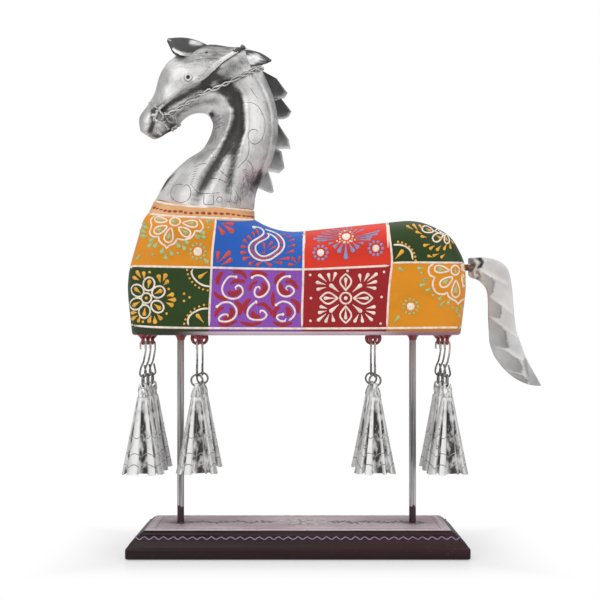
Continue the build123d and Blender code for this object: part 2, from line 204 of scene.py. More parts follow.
def tube(route, radius, sides=8, closed=False):
    """Skin of a round wire along a route; a list of radii lets it swell and thin."""
    count = len(route)
    radii = radius if isinstance(radius, list) else [radius] * count
    rings, up = [], None
    for i, place in enumerate(route):
        before = route[i - 1] if i or closed else place
        after = route[(i + 1) % count] if i < count - 1 or closed else place
        along = (after - before).normalized()
        up = along.orthogonal() if up is None else up
        up = (up - along * up.dot(along)).normalized()
        across = along.cross(up)
        rings.append([place + (up * math.cos(a) + across * math.sin(a)) * radii[i] for a in turns_of(sides)])
    return skin(rings + rings[:1] if closed else rings, True, not closed)


def joined(skins):
    """Several skins as one set of points and faces."""
    points, faces = [], []
    for more_points, more_faces in skins:
        faces += [tuple(i + len(points) for i in face) for face in more_faces]
        points += more_points
    return points, faces


def inset_at(z):
    """How far in from the board's outline its edge lies at a height."""
    for (low_inset, low), (high_inset, high) in zip(base_edge[1:], base_edge[2:]):
        if low <= z <= high:
            return low_inset + (high_inset - low_inset) * (z - low) / max(high - low, 1e-6)
    return base_edge[-1][0]


def coat_paint(colour, rough=0.42, spread=0.35):
    """Thick hand-laid paint of one colour, a little uneven and worn."""
    def paint(t):
        cloud = t.noise(260, detail=4)
        fine = t.noise(1500, detail=2)
        dull = tuple(c * (1 - spread) for c in colour)
        return {"Base Color": t.mix(dull, colour, cloud.step(0.25, 0.6)), "Roughness": rough + 0.25 * fine,
                "Coat Weight": 0.12, "Height": (0.3, 0.00025, cloud + 0.4 * fine)}
    return paint


zigzag_half, zigzag_wave, zigzag_middle = base_length / 2 - 6.2, 3.35, 14.15
zigzag_rise, zigzag_radius = 0.85, 0.38
zigzag_sunk, zigzag_stops = 0.12, 4
zigzags = []
wander = random.Random(4)
waves = round(zigzag_half / zigzag_wave) * 2
for side in (-1, 1):
    places = []
    for n in range(waves * zigzag_stops + 1):
        share = n / (waves * zigzag_stops)
        tip = abs((share * waves) % 2 - 1) * 2 - 1
        z = zigzag_middle + zigzag_rise * math.copysign(abs(tip) ** 0.8, tip) + wander.uniform(-0.16, 0.16)
        y = side * (base_width / 2 - (inset_at(z) - zigzag_sunk))
        places.append(Vector((-zigzag_half + 2 * zigzag_half * share, y, z)))
    zigzags.append(tube(places, zigzag_radius, 6))
lavender_line = finish_named("lavender line paint", coat_paint((0.33, 0.25, 0.42)))
add_piece("base_zigzag", *joined(zigzags), lavender_line, "base_paint")


# The rods are plain drawn steel, 5 mm across, pushed into the base below and into the body above.
# Dark maroon paint has run a little way up the foot of each from the base.
def drawn_steel(t):
    x, y, z = t.axes()
    streak = t.noise(900, (1, 1, 0.02), 3)
    blotch = t.noise(120, detail=3)
    steel = t.mix((0.18, 0.175, 0.175), (0.62, 0.61, 0.61), streak.step(0.36, 0.64))
    # darker blotches, and the rod turns warmer brown toward its top, just under the body
    blotched_warm_top = t.mix(steel, (0.44, 0.34, 0.31), (blotch.step(0.50, 0.75) * 0.35
                                             + 0.60 * z.step(0.105, 0.145)).clip())
    painted = (z + 0.006 * t.noise(260)).step(0.0345, 0.0335)
    return {"Base Color": t.mix(blotched_warm_top, (0.045, 0.014, 0.014), painted), "Metallic": 1.0 - painted,
            "Roughness": 0.30 + 0.20 * streak, "Height": (0.25, 0.0003, streak)}


rod_steel = finish_named("drawn steel rod", drawn_steel)
for node in ("front_post", "rear_post"):
    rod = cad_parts[node].data
    rod.materials.clear()
    rod.materials.append(rod_steel)
    rod.shade_smooth()


# Carved wooden body: one block, rounded along the back, with a slanted oval collar for the neck.
# It is painted in eight gloss panels, with painted shade toward the lower edge and a pale painted
# reflection of the floor along the rounded underside. The rods, the screw eyes and the tail's peg are
# driven into it.
trunk_corners = [(-116.6, 131.1), (-123.5, 196.0), (-109.5, 245.0), (-92.0, 250.0), (-40.1, 245.0),
                 (-15.0, 228.9), (86.1, 239.2), (110.0, 228.0), (120.5, 208.0), (120.8, 188.0), (113.9, 131.1)]
trunk_rounds = [70.0, 16.0, 40.0, 30.0, 50.0, 40.0, 25.0, 30.0, 60.0]
body_half_width, body_underside, body_round = 36.0, 156.0, 20.0


def rounded_path(corners, rounds, turn=6.0, run=6.0):
    """Points and headings along a line whose corners are rounded."""
    path = []

    def straight(a, b):
        n = max(1, int((b - a).length / run))
        for i in range(n + 1):
            path.append((a + (b - a) * (i / n), (b - a).normalized()))

    last = Vector(corners[0])
    for before, corner, after, radius in zip(corners, corners[1:], corners[2:], rounds):
        corner = Vector(corner)
        into, out = (corner - Vector(before)).normalized(), (Vector(after) - corner).normalized()
        swing = into.angle(out)
        side = 1.0 if into.x * out.y - into.y * out.x > 0 else -1.0
        cut = radius * math.tan(swing / 2)
        start = corner - into * cut
        centre = start + Vector((-into.y, into.x)) * (side * radius)
        straight(last, start)
        steps = max(2, int(math.degrees(swing) / turn))
        for i in range(1, steps):
            a = side * swing * i / steps
            arm = start - centre
            turned = Vector((arm.x * math.cos(a) - arm.y * math.sin(a),
                             arm.x * math.sin(a) + arm.y * math.cos(a)))
            path.append((centre + turned, Vector((-turned.y, turned.x)).normalized() * side))
        last = corner + out * cut
    straight(last, Vector(corners[-1]))
    kept = [path[0]]
    for place, heading in path[1:]:
        if (place - kept[-1][0]).length > 0.05:
            kept.append((place, heading))
    return kept


trunk_rings = []
profile = [(body_half_width - body_round * (1 - math.cos(a)), body_round * (1 - math.sin(a)))
           for a in [math.radians(90 * n / 9) for n in range(10)]]
for y, inset in [(-y, inset) for y, inset in profile] + profile[::-1]:
    ring = []
    for place, heading in rounded_path(trunk_corners, trunk_rounds):
        ring.append((place.x + heading.y * inset, y, max(place.y - heading.x * inset, body_underside)))
    trunk_rings.append(ring)
collar_front, collar_back = Vector((-104.8, 0, 255.0)), Vector((-32.0, 0, 248.2))
collar_run = (collar_back - collar_front).length
collar_mid = (collar_front + collar_back) / 2
collar_along = (collar_back - collar_front).normalized()
collar_up = Vector((-collar_along.z, 0, collar_along.x))
collar_depth, collar_width, collar_sag, collar_levels = 26.0, 55.5, 4.2, 8
front_flare, back_flare, side_flare = 8.0, 3.0, 7.0
collar_rings = []
for n in range(collar_levels + 1):
    share = n / collar_levels
    flare = share ** 0.85
    ring = []
    for a in turns_of(64):
        half_x = collar_run / 2 + (front_flare if math.cos(a) < 0 else back_flare) * flare
        half_y = collar_width / 2 + side_flare * flare
        rim = Vector((0, half_y * math.sin(a), -collar_sag * math.sin(a) ** 2))
        ring.append(tuple(collar_mid + collar_along * (half_x * math.cos(a)) + rim
                          - collar_up * (collar_depth * share)))
    collar_rings.append(ring)


def carve(name, solids, voxel, rounds, finish, slot):
    """Closed skins merged into one block and sanded smooth where they meet."""
    rough = add_piece(name + "_rough", *joined(solids), finish, slot)
    melt = rough.modifiers.new("melt", "REMESH")
    melt.mode, melt.voxel_size, melt.use_smooth_shade = "VOXEL", voxel * mm, True
    sand = rough.modifiers.new("sand", "SMOOTH")
    sand.factor, sand.iterations = 0.5, rounds
    shape = bpy.data.meshes.new_from_object(rough.evaluated_get(bpy.context.evaluated_depsgraph_get()))
    bpy.data.objects.remove(rough)
    shape.materials.clear()
    shape.materials.append(finish)
    shape.shade_smooth()
    piece = bpy.data.objects.new(name, shape)
    bpy.context.scene.collection.objects.link(piece)
    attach(piece, "horse")
    return piece


def panel_paint(t):
    x, y, z = t.axes()
    brush = t.noise(45, (0.35, 1, 1), 4)
    sway = 0.0006 * t.noise(14, detail=1)
    right = x + sway
    rise = z - 0.1623
    col_1 = (right - 0.01625 * rise - 0.623 * rise * rise).step(-0.0625, -0.0623)
    col_2 = (right - 0.0199 * (z - 0.1616)).step(0.0028, 0.0030)
    below, above = (t.sum("MAXIMUM", side, 0.0) for side in (0.2067 - z, z - 0.2067))
    col_3 = (right + 0.0776 * below + 0.0925 * above).step(0.0661, 0.0663)
    ahead = t.sum("MAXIMUM", 0.0036 - x, 0.0)
    behind = t.sum("MAXIMUM", t.sum("MINIMUM", x, 0.0650) - 0.0036, 0.0)
    waist = 0.2022 + 0.0195 * ahead + 0.0436 * behind + 0.0020 * x.step(0.0655, 0.0660)
    upper = (z - waist).step(-0.0001, 0.0001)
    top_row = t.mix(t.mix(t.mix((0.74, 0.27, 0.011), (0.018, 0.115, 0.50), col_1), (0.70, 0.037, 0.016), col_2),
                    (0.020, 0.048, 0.007), col_3)
    low_row = t.mix(t.mix(t.mix((0.020, 0.050, 0.007), (0.25, 0.075, 0.43), col_1), (0.33, 0.012, 0.016),
                          col_2), (0.72, 0.265, 0.009), col_3)
    panels = t.mix(low_row, top_row, upper)
    # painted shade toward the lower edge, then a painted floor reflection on the rounded underside edge, pale
    # mauve in the middle and darker at the chest and rump ends
    shaded = t.mix(panels, t.mix(panels, (0.03, 0.02, 0.02), 0.35), z.step(0.1618, 0.1606))
    pale = t.mix((0.035, 0.030, 0.022), (0.60, 0.46, 0.53), x.step(-0.088, -0.055))
    pale = t.mix(pale, (0.30, 0.15, 0.21), x.step(0.052, 0.080))
    under = t.mix(shaded, pale, z.step(0.1588, 0.1581))
    foot = z + 0.0615 * (x + 0.1103) + 4.56 * y * y
    on_collar = foot.step(0.2452, 0.2455) * x.step(-0.026, -0.028)
    tan = t.mix((0.66, 0.33, 0.125), (0.74, 0.40, 0.175), brush)
    colour = t.mix(under, tan, on_collar)
    mottled = t.mix(colour, t.mix(colour, (0.0, 0.0, 0.0), 0.35), brush.step(0.45, 0.75) * 0.45)
    return {"Base Color": mottled, "Roughness": 0.34 + 0.16 * brush, "Coat Weight": 0.06, "Coat Roughness": 0.2,
            "Specular IOR Level": 0.26, "Height": (0.20, 0.0005, brush)}


painted_wood = finish_named("gloss panel paint on wood", panel_paint)
block = [skin(trunk_rings), skin(collar_rings[::-1])]
horse_body = carve("painted_body", block, 1.1, 10, painted_wood, "body_paint")
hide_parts("body")


# Raised paint on the body, squeezed on by hand in thick lines, drops and dots: cream lines between the
# panels and round the collar, flowers and leaves in each panel. The far side is laid out like the near side.
# Places are given as points of the side view, 600 across.
sight = Vector((1.5, -880.0, 152.5))
view_x, view_y, view_scale, view_depth = 300, 340, 1200, 0.85
paints = {"cream": (0.92, 0.78, 0.68), "mint": (0.36, 0.56, 0.24), "tomato": (0.66, 0.06, 0.035),
          "deep_red": (0.36, 0.003, 0.016), "corn": (0.84, 0.41, 0.025), "lilac": (0.26, 0.30, 0.58),
          "mauve": (0.36, 0.25, 0.40), "rust": (0.34, 0.030, 0.010)}
point_size = 0.7
bead = [(-1.0, -0.35), (-0.70, 0.62), (0.0, 1.0), (0.70, 0.62), (1.0, -0.35)]
coats = {}


def surface_of(piece):
    return BVHTree.FromObject(piece, bpy.context.evaluated_depsgraph_get())


def struck(surface, start, way):
    """Where a line from a place first meets a surface, and the heading there, or None."""
    place, heading, _, _ = surface.ray_cast(Vector(start) * mm, Vector(way))
    return None if place is None else (place / mm, heading)


def seen(surface, px, py):
    """Where the line of sight through a point of the side view meets a surface, and the heading there."""
    way = Vector(((px - view_x) / view_scale, 1.0, (view_y - py) / view_scale)).normalized()
    hit = struck(surface, sight, way)
    if hit is None:
        place, heading, _, _ = surface.find_nearest(sight * mm + way * (view_depth / way.y))
        hit = (place / mm, heading)
    return hit


def smooth_run(stops, step, closed=False, size=2):
    """More stops in between on a smooth curve, about one step apart."""
    count, run = len(stops), []
    for i in range(count if closed else count - 1):
        near = [(i + k) % count if closed else min(max(i + k, 0), count - 1) for k in (-1, 0, 1, 2)]
        a, b, c, d = (stops[n] for n in near)
        pieces = max(1, round(math.dist(b[:size], c[:size]) / step))
        for n in range(pieces):
            t = n / pieces
            run.append(tuple(0.5 * (2 * q + (r - p) * t + (2 * p - 5 * q + 4 * r - s) * t * t
                                    + (3 * q - p - 3 * r + s) * t ** 3) for p, q, r, s in zip(a, b, c, d)))
    return run if closed else run + [tuple(stops[-1])]


def lay(coat, rings, sides):
    """Adds a skin to a coat of paint, on the near side, the far side or both."""
    points, faces = coats.setdefault(coat, ([], []))
    for side in sides:
        laid = [[(p.x, side * p.y, p.z) for p in ring] for ring in rings]
        more_points, more_faces = skin(laid, False, False)
        if side < 0:
            more_faces = [face[::-1] for face in more_faces]
        faces += [tuple(i + len(points) for i in face) for face in more_faces]
        points += more_points


def stroke(coat, hits, width, rise=0.45, sides=(1, -1), closed=False):
    """A raised line of paint through places on a surface, in millimetres."""
    rings, count = [], len(hits)
    widths = [1.13 * w for w in (width if isinstance(width, list) else [width] * count)]
    if not closed and not isinstance(width, list):
        widths = [widths[0] * 0.35] + widths[1:-1] + [widths[0] * 0.35]
    for i, (place, heading) in enumerate(hits):
        before = hits[i - 1][0] if i or closed else place
        after = hits[(i + 1) % count][0] if i < count - 1 or closed else place
        if (after - before).length < 1e-4:
            continue
        across = (after - before).normalized().cross(heading).normalized()
        lift = rise * min(1.0, widths[i] / 0.9)
        rings.append([place + across * (widths[i] / 2 * out) + heading * (lift * up) for out, up in bead])
    lay(coat, rings + rings[:1] if closed else rings, sides)


def hits_along(surface, route, step, closed=False):
    return [seen(surface, *stop[:2]) for stop in smooth_run(route, step, closed)]


def line(coat, route, width=1.4, rise=0.45, step=2.2, closed=False, sides=(1, -1), surface=None):
    stroke(coat, hits_along(surface or wood_skin, route, step, closed), width, rise, sides, closed)


def drop(coat, head, tail, size):
    """A drop pressed down at its head and drawn off to its tail. Its size is its width in picture points."""
    span = math.dist(head, tail)
    way = ((head[0] - tail[0]) / span, (head[1] - tail[1]) / span)
    drawn, reach = span * 0.22, span * 1.22 + size * 0.5
    ball = min(0.5, 0.5 * size / reach)
    shape = [(share * (1 - ball), 0.12 + 0.88 * share ** 1.25) for share in (0.0, 0.25, 0.5, 0.75, 1.0)]
    shape += [(1 - ball + ball * math.sin(a), math.cos(a)) for a in (0.45, 0.85, 1.15, 1.4)]
    hits = []
    for t, _ in shape:
        run = reach * t - drawn
        hits.append(seen(wood_skin, tail[0] + way[0] * run, tail[1] + way[1] * run))
    stroke(coat, hits, [size * point_size * share for _, share in shape], 0.6)


def drops(coat, *shapes):
    for head_x, head_y, tail_x, tail_y, size in shapes:
        drop(coat, (head_x, head_y), (tail_x, tail_y), size)


def dot(coat, px, py, size, rise=0.55):
    shape = [(-0.98, 0.25), (-0.75, 0.7), (-0.3, 0.97), (0.3, 0.97), (0.75, 0.7), (0.98, 0.25)]
    hits = [seen(wood_skin, px + size * run, py) for run, _ in shape]
    stroke(coat, hits, [2 * size * point_size * share for _, share in shape], rise)


def dots(coat, size, *places):
    for px, py in places:
        dot(coat, px, py, size)


def loop(coat, px, py, rx, ry, tilt=0.0, width=1.2, point=0.0):
    """A ring of paint: an oval, or with a point a petal that narrows toward its tilt."""
    lean, hits = math.radians(tilt), []
    for a in turns_of(16):
        run, off = rx * math.cos(a), ry * math.sin(a) * (1 + 0.15 * point - point * (1 + math.cos(a)) / 2)
        hits.append(seen(wood_skin, px + run * math.cos(lean) - off * math.sin(lean),
                         py + run * math.sin(lean) + off * math.cos(lean)))
    stroke(coat, hits, width, 0.4, closed=True)


def dot_flower(px, py, middle, petals, heart, reach, count=11, size=1.15):
    dot(middle, px, py, heart, 0.9)
    for a in turns_of(count):
        dot(petals, px + reach * math.cos(a), py + reach * math.sin(a), size)


wood_skin = surface_of(horse_body)

# lines between the panels, run on over the back and round both ends
for route in ([(216, 218.5), (214.5, 232), (212.5, 250), (211.5, 268), (210.5, 290),
               (209.5, 308), (209.2, 326)],
              [(304, 227), (303.6, 240), (303.3, 269), (302.8, 290), (302.2, 308), (302, 327)],
              [(388.3, 223), (389, 232), (391.3, 250), (392, 263), (390, 280), (388.3, 300), (387, 327)]):
    line("cream", route, 1.5, step=5)
for x_top in (4.6, 63.4):
    spread = [math.radians(a) for a in range(-64, 65, 8)]
    stroke("cream", [struck(wood_skin, (x_top, 0, 200), (0, math.sin(a), math.cos(a)))
                     for a in spread], 1.5, sides=(1,))
waist = [(131, 266), (160, 266.6), (190, 267.2), (212, 267.6), (250, 268.6), (303, 269.4),
         (345, 267.8), (389, 265.7)]
line("cream", waist, 1.5, step=5)
line("cream", [(392, 262.9), (410, 262.4), (440, 262.6), (466, 262.7)], 1.4, step=5)
line("cream", [(131, 325.2), (152, 327), (180, 327.8), (212, 328.2), (303, 328.6), (389, 328.2),
               (466, 327.4)], 1.5, step=5)


def round_end(x, z, start, stop, width):
    """A level line round the chest or the rump, from one side to the other."""
    spread = [math.radians(start + (stop - start) * n / 24) for n in range(25)]
    stroke("cream", [struck(wood_skin, (x, 0, z), (math.cos(a), math.sin(a), 0))
                     for a in spread], width, sides=(1,))


round_end(-100, 204.4, 122, 238, 1.5)
round_end(100, 206.9, 58, -58, 1.5)
round_end(-100, 163.3, 122, 238, 1.3)
round_end(100, 161.8, 58, -58, 1.3)

# the collar: a line along its rim, a line round its foot, and dark red dots between
line("cream", [(155.7, 200.8), (163, 203.4), (178.9, 205.2), (198.4, 206.8), (213.9, 206.9), (229.5, 208.4),
               (253.8, 211.2)], 1.7, step=4)
line("cream", [(147.6, 213.3), (163, 215.4), (198, 217.2), (230, 218.6), (254.4, 219.9)], 1.6, step=4)
for px, py, size in ((154.4, 207.6, 1.3), (157.5, 208.7, 1.3), (161, 209.7, 1.3), (165.1, 210.7, 1.6),
                     (169.6, 211.3, 1.8), (175, 211.4, 1.8), (180.6, 211.4, 1.8), (185.5, 212.7, 1.6),
                     (191, 213.2, 1.6), (197.2, 213, 1.7), (203.2, 213.1, 1.9), (209.4, 213.5, 1.8),
                     (215.6, 213.4, 1.9), (221.6, 213.8, 1.9), (227.9, 213.8, 1.9), (233.2, 214.6, 1.6),
                     (238.6, 215.3, 1.6), (243.9, 216, 1.3), (247.8, 216.4, 1.3),
                     (250.5, 216.6, 1.1), (252.6, 217, 1.0)):
    dot("rust", px, py, 1.12 * size)

# orange panel above: a scalloped spray, looped petals each with a drop, and drops round it
line("cream", [(155, 215.9), (150.6, 220), (151.6, 225), (150.6, 229), (149.6, 233), (152.7, 236.5),
               (158.8, 237), (158.8, 240), (161.8, 243.7), (164.9, 245.7), (166.6, 248.5), (169, 245.7),
               (174, 243.7), (177.7, 239), (183.3, 240), (190.4, 238), (194, 234), (195, 231), (200.6, 231),
               (203.2, 226.8), (201.6, 222.8), (199, 219.4)], 1.25)
for px, py, rx, ry, tilt, point in ((160.8, 219.9, 6.2, 3.3, 8, 0.55), (175.1, 221.7, 5.2, 4.0, 0, 0.0),
                                    (190.2, 223.6, 7.4, 4.2, 184, 0.75), (160.6, 229.4, 7.0, 4.3, -24, 0.6),
                                    (184.4, 231.6, 6.8, 4.8, 215, 0.6), (169.2, 235.2, 7.4, 5.4, -76, 0.75)):
    loop("cream", px, py, rx, ry, tilt, 1.2, point)
    c, s = math.cos(math.radians(tilt)), math.sin(math.radians(tilt))
    drop("mint", (px - 1.8 * c, py - 1.8 * s), (px + 2.2 * c, py + 2.2 * s), 4.0)
for px, py, way in ((141.9, 231, 200), (143, 236, 190), (144.5, 226.5, 210), (150.6, 240.6, 150),
                    (149, 245.7, 140), (155, 246, 120), (161.8, 251.8, 110), (165.4, 257.4, 90),
                    (171.5, 253.9, 70), (178.7, 246, 60), (184.3, 248.3, 60), (186.8, 242.7, 50),
                    (198, 237, 30), (203.7, 237.5, 20), (203.2, 233, 10), (207.8, 221.2, 180),
                    (206.7, 261.5, 45), (140, 222, 200), (137.5, 258, 130)):
    away = math.radians(way)
    drop("mint", (px, py), (px - 4.2 * math.cos(away), py - 4.2 * math.sin(away)), 4.2)
dots("mint", 1.3, (177.7, 253.4), (152.9, 254.7), (208.6, 227.7))
dot_flower(197.8, 251.5, "cream", "mint", 4.3, 7.6, size=1.3)

# blue panel above: a tailed leaf in two cream lines with red dashes between, and red drops round it
leaf = [(256.0, 227.2), (258.6, 227.4), (261.2, 228.5), (263.5, 230.9), (263.8, 233.1), (261.6, 235.7),
        (257.1, 238.6), (252.6, 241.4), (249.8, 244.6), (248.8, 248.4), (250.1, 252.9), (253.9, 257.4),
        (259, 259.9), (264.1, 260.6), (270.5, 259.3), (275.6, 256.1), (281.3, 251.6), (283.9, 247.2),
        (284.2, 242.7), (282.6, 238.9), (278.8, 235), (274.3, 232.5), (269.2, 230.6), (264.8, 229.2)]
line("cream", leaf, 1.3)
heart = [(267.9, 233.3), (269.0, 235.7), (266.7, 238.6), (262.2, 240.8), (257.7, 243.3), (255.5, 246.5),
         (255.5, 249.7), (257.1, 252.9), (260.3, 255.5), (264.1, 256.4), (268.6, 255.1), (273.1, 252.6),
         (276.9, 249.7), (278.8, 246.5), (278.8, 243.3), (276.9, 239.5), (273.7, 236.3), (270.2, 234.4)]
line("cream", heart, 1.2, closed=True)
drop("cream", (254.0, 227.2), (257.8, 227.2), 3.8)
pairs = zip(leaf[4:8] + leaf[9:21], heart[1:17])
for px, py in smooth_run([((a[0] + b[0]) / 2, (a[1] + b[1]) / 2) for a, b in pairs], 2.6):
    dot("tomato", px, py, 1.05, 0.35)
drops("tomato", (232.2, 223.8, 223.3, 223.6, 4), (231.9, 230.9, 223.9, 224.8, 5), (222.7, 232.6, 218.8, 227, 5),
      (218.2, 253, 217.2, 260.5, 4), (229, 252.8, 220.1, 260.8, 4.6), (230.3, 260, 223.3, 264, 4.6),
      (242.4, 246.5, 247, 247.2, 3.6), (242.2, 252.7, 247.5, 252.3, 3.8), (244.2, 258.8, 249.5, 257.2, 4),
      (250.2, 263.6, 254.6, 261.2, 3.6), (257.4, 264.9, 261.3, 262.2, 3.4), (270.2, 265, 265.4, 262.6, 3.6),
      (280.7, 262.8, 274.3, 261.9, 3.4), (288.4, 258.2, 279.2, 259.2, 3.4), (293, 251, 286.6, 252.9, 3),
      (294.2, 245.2, 288.7, 246.8, 2.8), (293.6, 239.8, 289, 241, 2.4), (290.6, 236.5, 286.6, 237.2, 2.2),
      (285, 234.8, 282, 235.4, 2), (257.1, 230.8, 259, 234.7, 3), (253, 233, 254.6, 236.2, 3),
      (248.7, 236.6, 251.4, 239.8, 3), (244.4, 240.2, 247.5, 243.5, 3.2), (292.8, 258.6, 296.3, 262.6, 3.6),
      (299.4, 257.4, 298.6, 262.2, 3), (289.6, 264.4, 294.6, 264.8, 3.2), (263.8, 244, 264.8, 250.4, 2.8),
      (271.6, 242.6, 268.3, 246.8, 3), (274.8, 246.9, 270.2, 249.2, 2.6))
dot("tomato", 264.2, 252.9, 1.4)

# red panel above: a sunburst with blue-grey drops below and mauve rays round it, and two dot flowers
sun_x, sun_y = 346.1, 236.5
dot("cream", sun_x, sun_y, 4.2, 1.0)
for k, a in enumerate(turns_of(14)):
    dot("corn" if k % 2 else "cream", sun_x + 6.6 * math.cos(a), sun_y + 5.6 * math.sin(a), 1.1)
drops("lilac", (345.9, 257.2, 345.8, 245.4, 4.4), (339, 251, 342.2, 244.6, 4.2),
      (334.8, 246.6, 338.6, 243.4, 3.6), (352.9, 250.4, 350, 245, 4.4), (357.3, 246.8, 353.8, 243.6, 4.2))
drops("mauve", (314.4, 238.9, 331, 238.6, 2.6), (318.6, 241, 334, 239.6, 3.0),
      (318.2, 236.4, 335.5, 237.4, 2.6), (322, 233.6, 337, 236, 2.4), (327, 231.6, 339, 235, 2.4),
      (378.6, 231.4, 359, 236, 2.6), (376.6, 234.2, 358, 237.3, 2.8), (371, 237, 357, 238.6, 2.8),
      (369.6, 239.6, 359, 240, 3.0), (362.4, 243.2, 358.6, 242.6, 2.8), (329.6, 243.4, 334, 242.4, 2.6),
      (342.2, 228.6, 344, 232.2, 2.2), (337.5, 230, 341.4, 233, 2.2), (346.9, 228.4, 346.5, 231.6, 2.2),
      (351.6, 229, 349.2, 232.2, 2.2), (356.4, 230, 352, 233.4, 2.2), (332.4, 229.8, 339.8, 233.6, 2.0),
      (363, 229.6, 354, 234, 2.0))
dots("cream", 0.95, (337, 241), (339.6, 242), (344, 242.6), (348.1, 242.6), (351.8, 241.4), (354.8, 239.9))
for px, py in ((320.6, 252.7), (375.8, 248.3)):
    dot_flower(px, py, "cream", "lilac", 3.5, 6.7, 10, size=1.5)

# green panel above: a cream quarter arc with dots outside, and three petals opening from the far corner
line("cream", [(393.5, 245), (400, 244.8), (407, 247.3), (411.4, 252.3), (412.8, 259.8)], 1.3)
for k in range(8):
    a = math.radians(-82 + 82 * k / 7)
    dot("corn", 395.2 + 20.4 * math.cos(a), 260.6 + 19.0 * math.sin(a), 1.2)
drop("corn", (402, 251.4), (396.6, 257.6), 4.2)
for px, py, rx, ry, tilt in ((427.8, 229.7, 5.8, 3.8, 18), (438.2, 236.9, 6.0, 4.6, -35),
                             (446.6, 238.9, 4.6, 3.0, -100), (441.2, 230.2, 6.0, 2.4, 208)):
    loop("cream", px, py, rx, ry, tilt, 1.2, 0.6)
drops("corn", (429.4, 230.2, 426, 229, 3.6), (440.4, 238, 437, 236, 3.8), (446.6, 239.8, 446, 237.4, 2.6),
      (408, 226.5, 412, 229, 3.4), (414, 225.4, 417, 229.4, 3.4), (417, 232, 421, 233.6, 3.4),
      (420, 226, 422, 229.6, 3), (422, 236.5, 426, 237.2, 3.2), (424.6, 245.4, 429, 244.4, 3.4),
      (430.6, 248.4, 434, 246, 3.4), (437.4, 249.6, 440.2, 246.4, 3.4), (444.4, 248.8, 446, 245, 3.2),
      (450.4, 247.6, 449.8, 243.6, 3), (452.6, 242.8, 450.6, 240, 2.6), (434, 255.4, 438, 254, 3),
      (441.6, 257, 444.4, 254.6, 3), (428.6, 256, 432, 257, 3))

# green panel below: a flower of six looped petals, corner sprays of drops, and two quarter arcs
flower_x, flower_y = 146.3, 298.1
loop("cream", flower_x, flower_y, 5.1, 5.1)
dot("corn", flower_x, flower_y, 1.5)
for px, py in ((148.9, 284), (137.6, 290.6), (136.4, 303.8), (144.5, 311.6), (157.4, 306.6), (158.4, 292)):
    away = math.atan2(py - flower_y, px - flower_x)
    c, s = math.cos(away), math.sin(away)
    loop("cream", px, py, 6.7, 5.7, math.degrees(away), 1.25)
    drop("corn", (px + 2.2 * c, py + 2.2 * s), (px - 3 * c, py - 3 * s), 4.4)
drops("corn", (137.5, 272.8, 140.4, 277, 4.6), (134.6, 277.8, 138.2, 279.6, 4), (143.7, 273.4, 144.2, 278, 4.2),
      (158.8, 276.6, 160, 281.6, 4.6), (165.4, 275.6, 163.4, 280.4, 4.6), (167.2, 281.6, 164.2, 284.6, 4.2),
      (172, 294.6, 167.6, 295.8, 4.6), (174, 299.8, 168.8, 299.6, 4.6), (171.6, 305, 167, 303, 4.6),
      (149.2, 320.9, 151, 316.6, 4.6), (155, 321.8, 154.6, 317, 4.6), (160.6, 318.4, 157.8, 315, 4.2),
      (132.8, 312.8, 136.6, 312.4, 4), (133.3, 318.4, 137.4, 315.8, 4.2), (138.6, 320.6, 140.4, 316.6, 4),
      (200, 276.8, 206, 272.6, 4), (197.6, 315.6, 202.8, 321.6, 4))
dots("corn", 1.3, (149.6, 272.2), (168.7, 289), (166.6, 313.6), (143, 321.8), (184, 293.8), (189.6, 297.4),
      (184, 301))
line("cream", [(193, 268.9), (191.4, 271.7), (193, 276.8), (197.6, 282), (203.7, 285.5), (210.3, 286.5)], 1.3)
line("cream", [(208.8, 308.5), (201.6, 309), (195.5, 311.5), (190.4, 315), (187.9, 319.7), (188.4, 325.2)], 1.3)
for k in range(8):
    a, b = math.radians(97 + 78 * k / 7), math.radians(-172 + 80 * k / 7)
    dot("corn", 210.5 + 23.5 * math.cos(a), 268 + 22.6 * math.sin(a), 1.15)
    dot("corn", 210.0 + 26.0 * math.cos(b), 327 + 22.6 * math.sin(b), 1.15)

# purple panel below: six cream scrolls drawn freehand, each with dark red crescents nested in and round it
for scroll in ([(236, 277), (229.3, 276.7), (223.8, 283.2), (222.1, 289.9), (224.9, 296), (231.6, 298.8),
                (238.3, 297.7), (242.7, 293.2), (242.2, 288.2), (238.8, 285.4), (235.5, 287.2), (236, 289.9)],
               [(252.2, 277.6), (256.1, 275.4), (262.8, 276.5), (268.4, 283.2), (269, 288.8), (265.6, 294.3),
                (260.6, 297.1), (256.1, 296.4), (254.4, 292.1), (256.1, 287.6), (259.5, 287.1), (260, 289.5)],
               [(289.6, 276.5), (284, 277), (278.4, 282.1), (277.3, 287.6), (279.6, 293.8), (285.1, 296.6),
                (290.7, 295.4), (294.1, 291.5), (292.4, 287.6), (288.5, 286), (285.7, 288.2), (287.4, 290.4)],
               [(217, 306.6), (222.6, 302.7), (230.4, 302.7), (235.5, 307.7), (236.6, 313.3), (233.2, 318.9),
                (226, 321.7), (219.5, 320.6), (219.3, 317.2), (223.8, 314.4), (228.2, 315), (227.7, 317.2)],
               [(256.1, 302.1), (251.7, 304.9), (247.9, 310), (247.4, 315), (250.5, 318.9), (258.3, 320),
                (263.9, 318.9), (266.7, 315), (263.9, 311.1), (260.4, 310.7), (260, 313.3)],
               [(276.2, 304.9), (281.8, 301.6), (288.5, 302.7), (293.5, 307.7), (295.2, 312.7),
                (292.6, 317.6), (288.5, 320.6)],
               [(282.9, 314.4), (278.6, 315), (276.8, 317.8), (280.7, 321.1), (285.1, 320.9), (286.2, 318.3)]):
    line("cream", scroll, 1.35)
    dot("cream", scroll[0][0], scroll[0][1], 1.5)
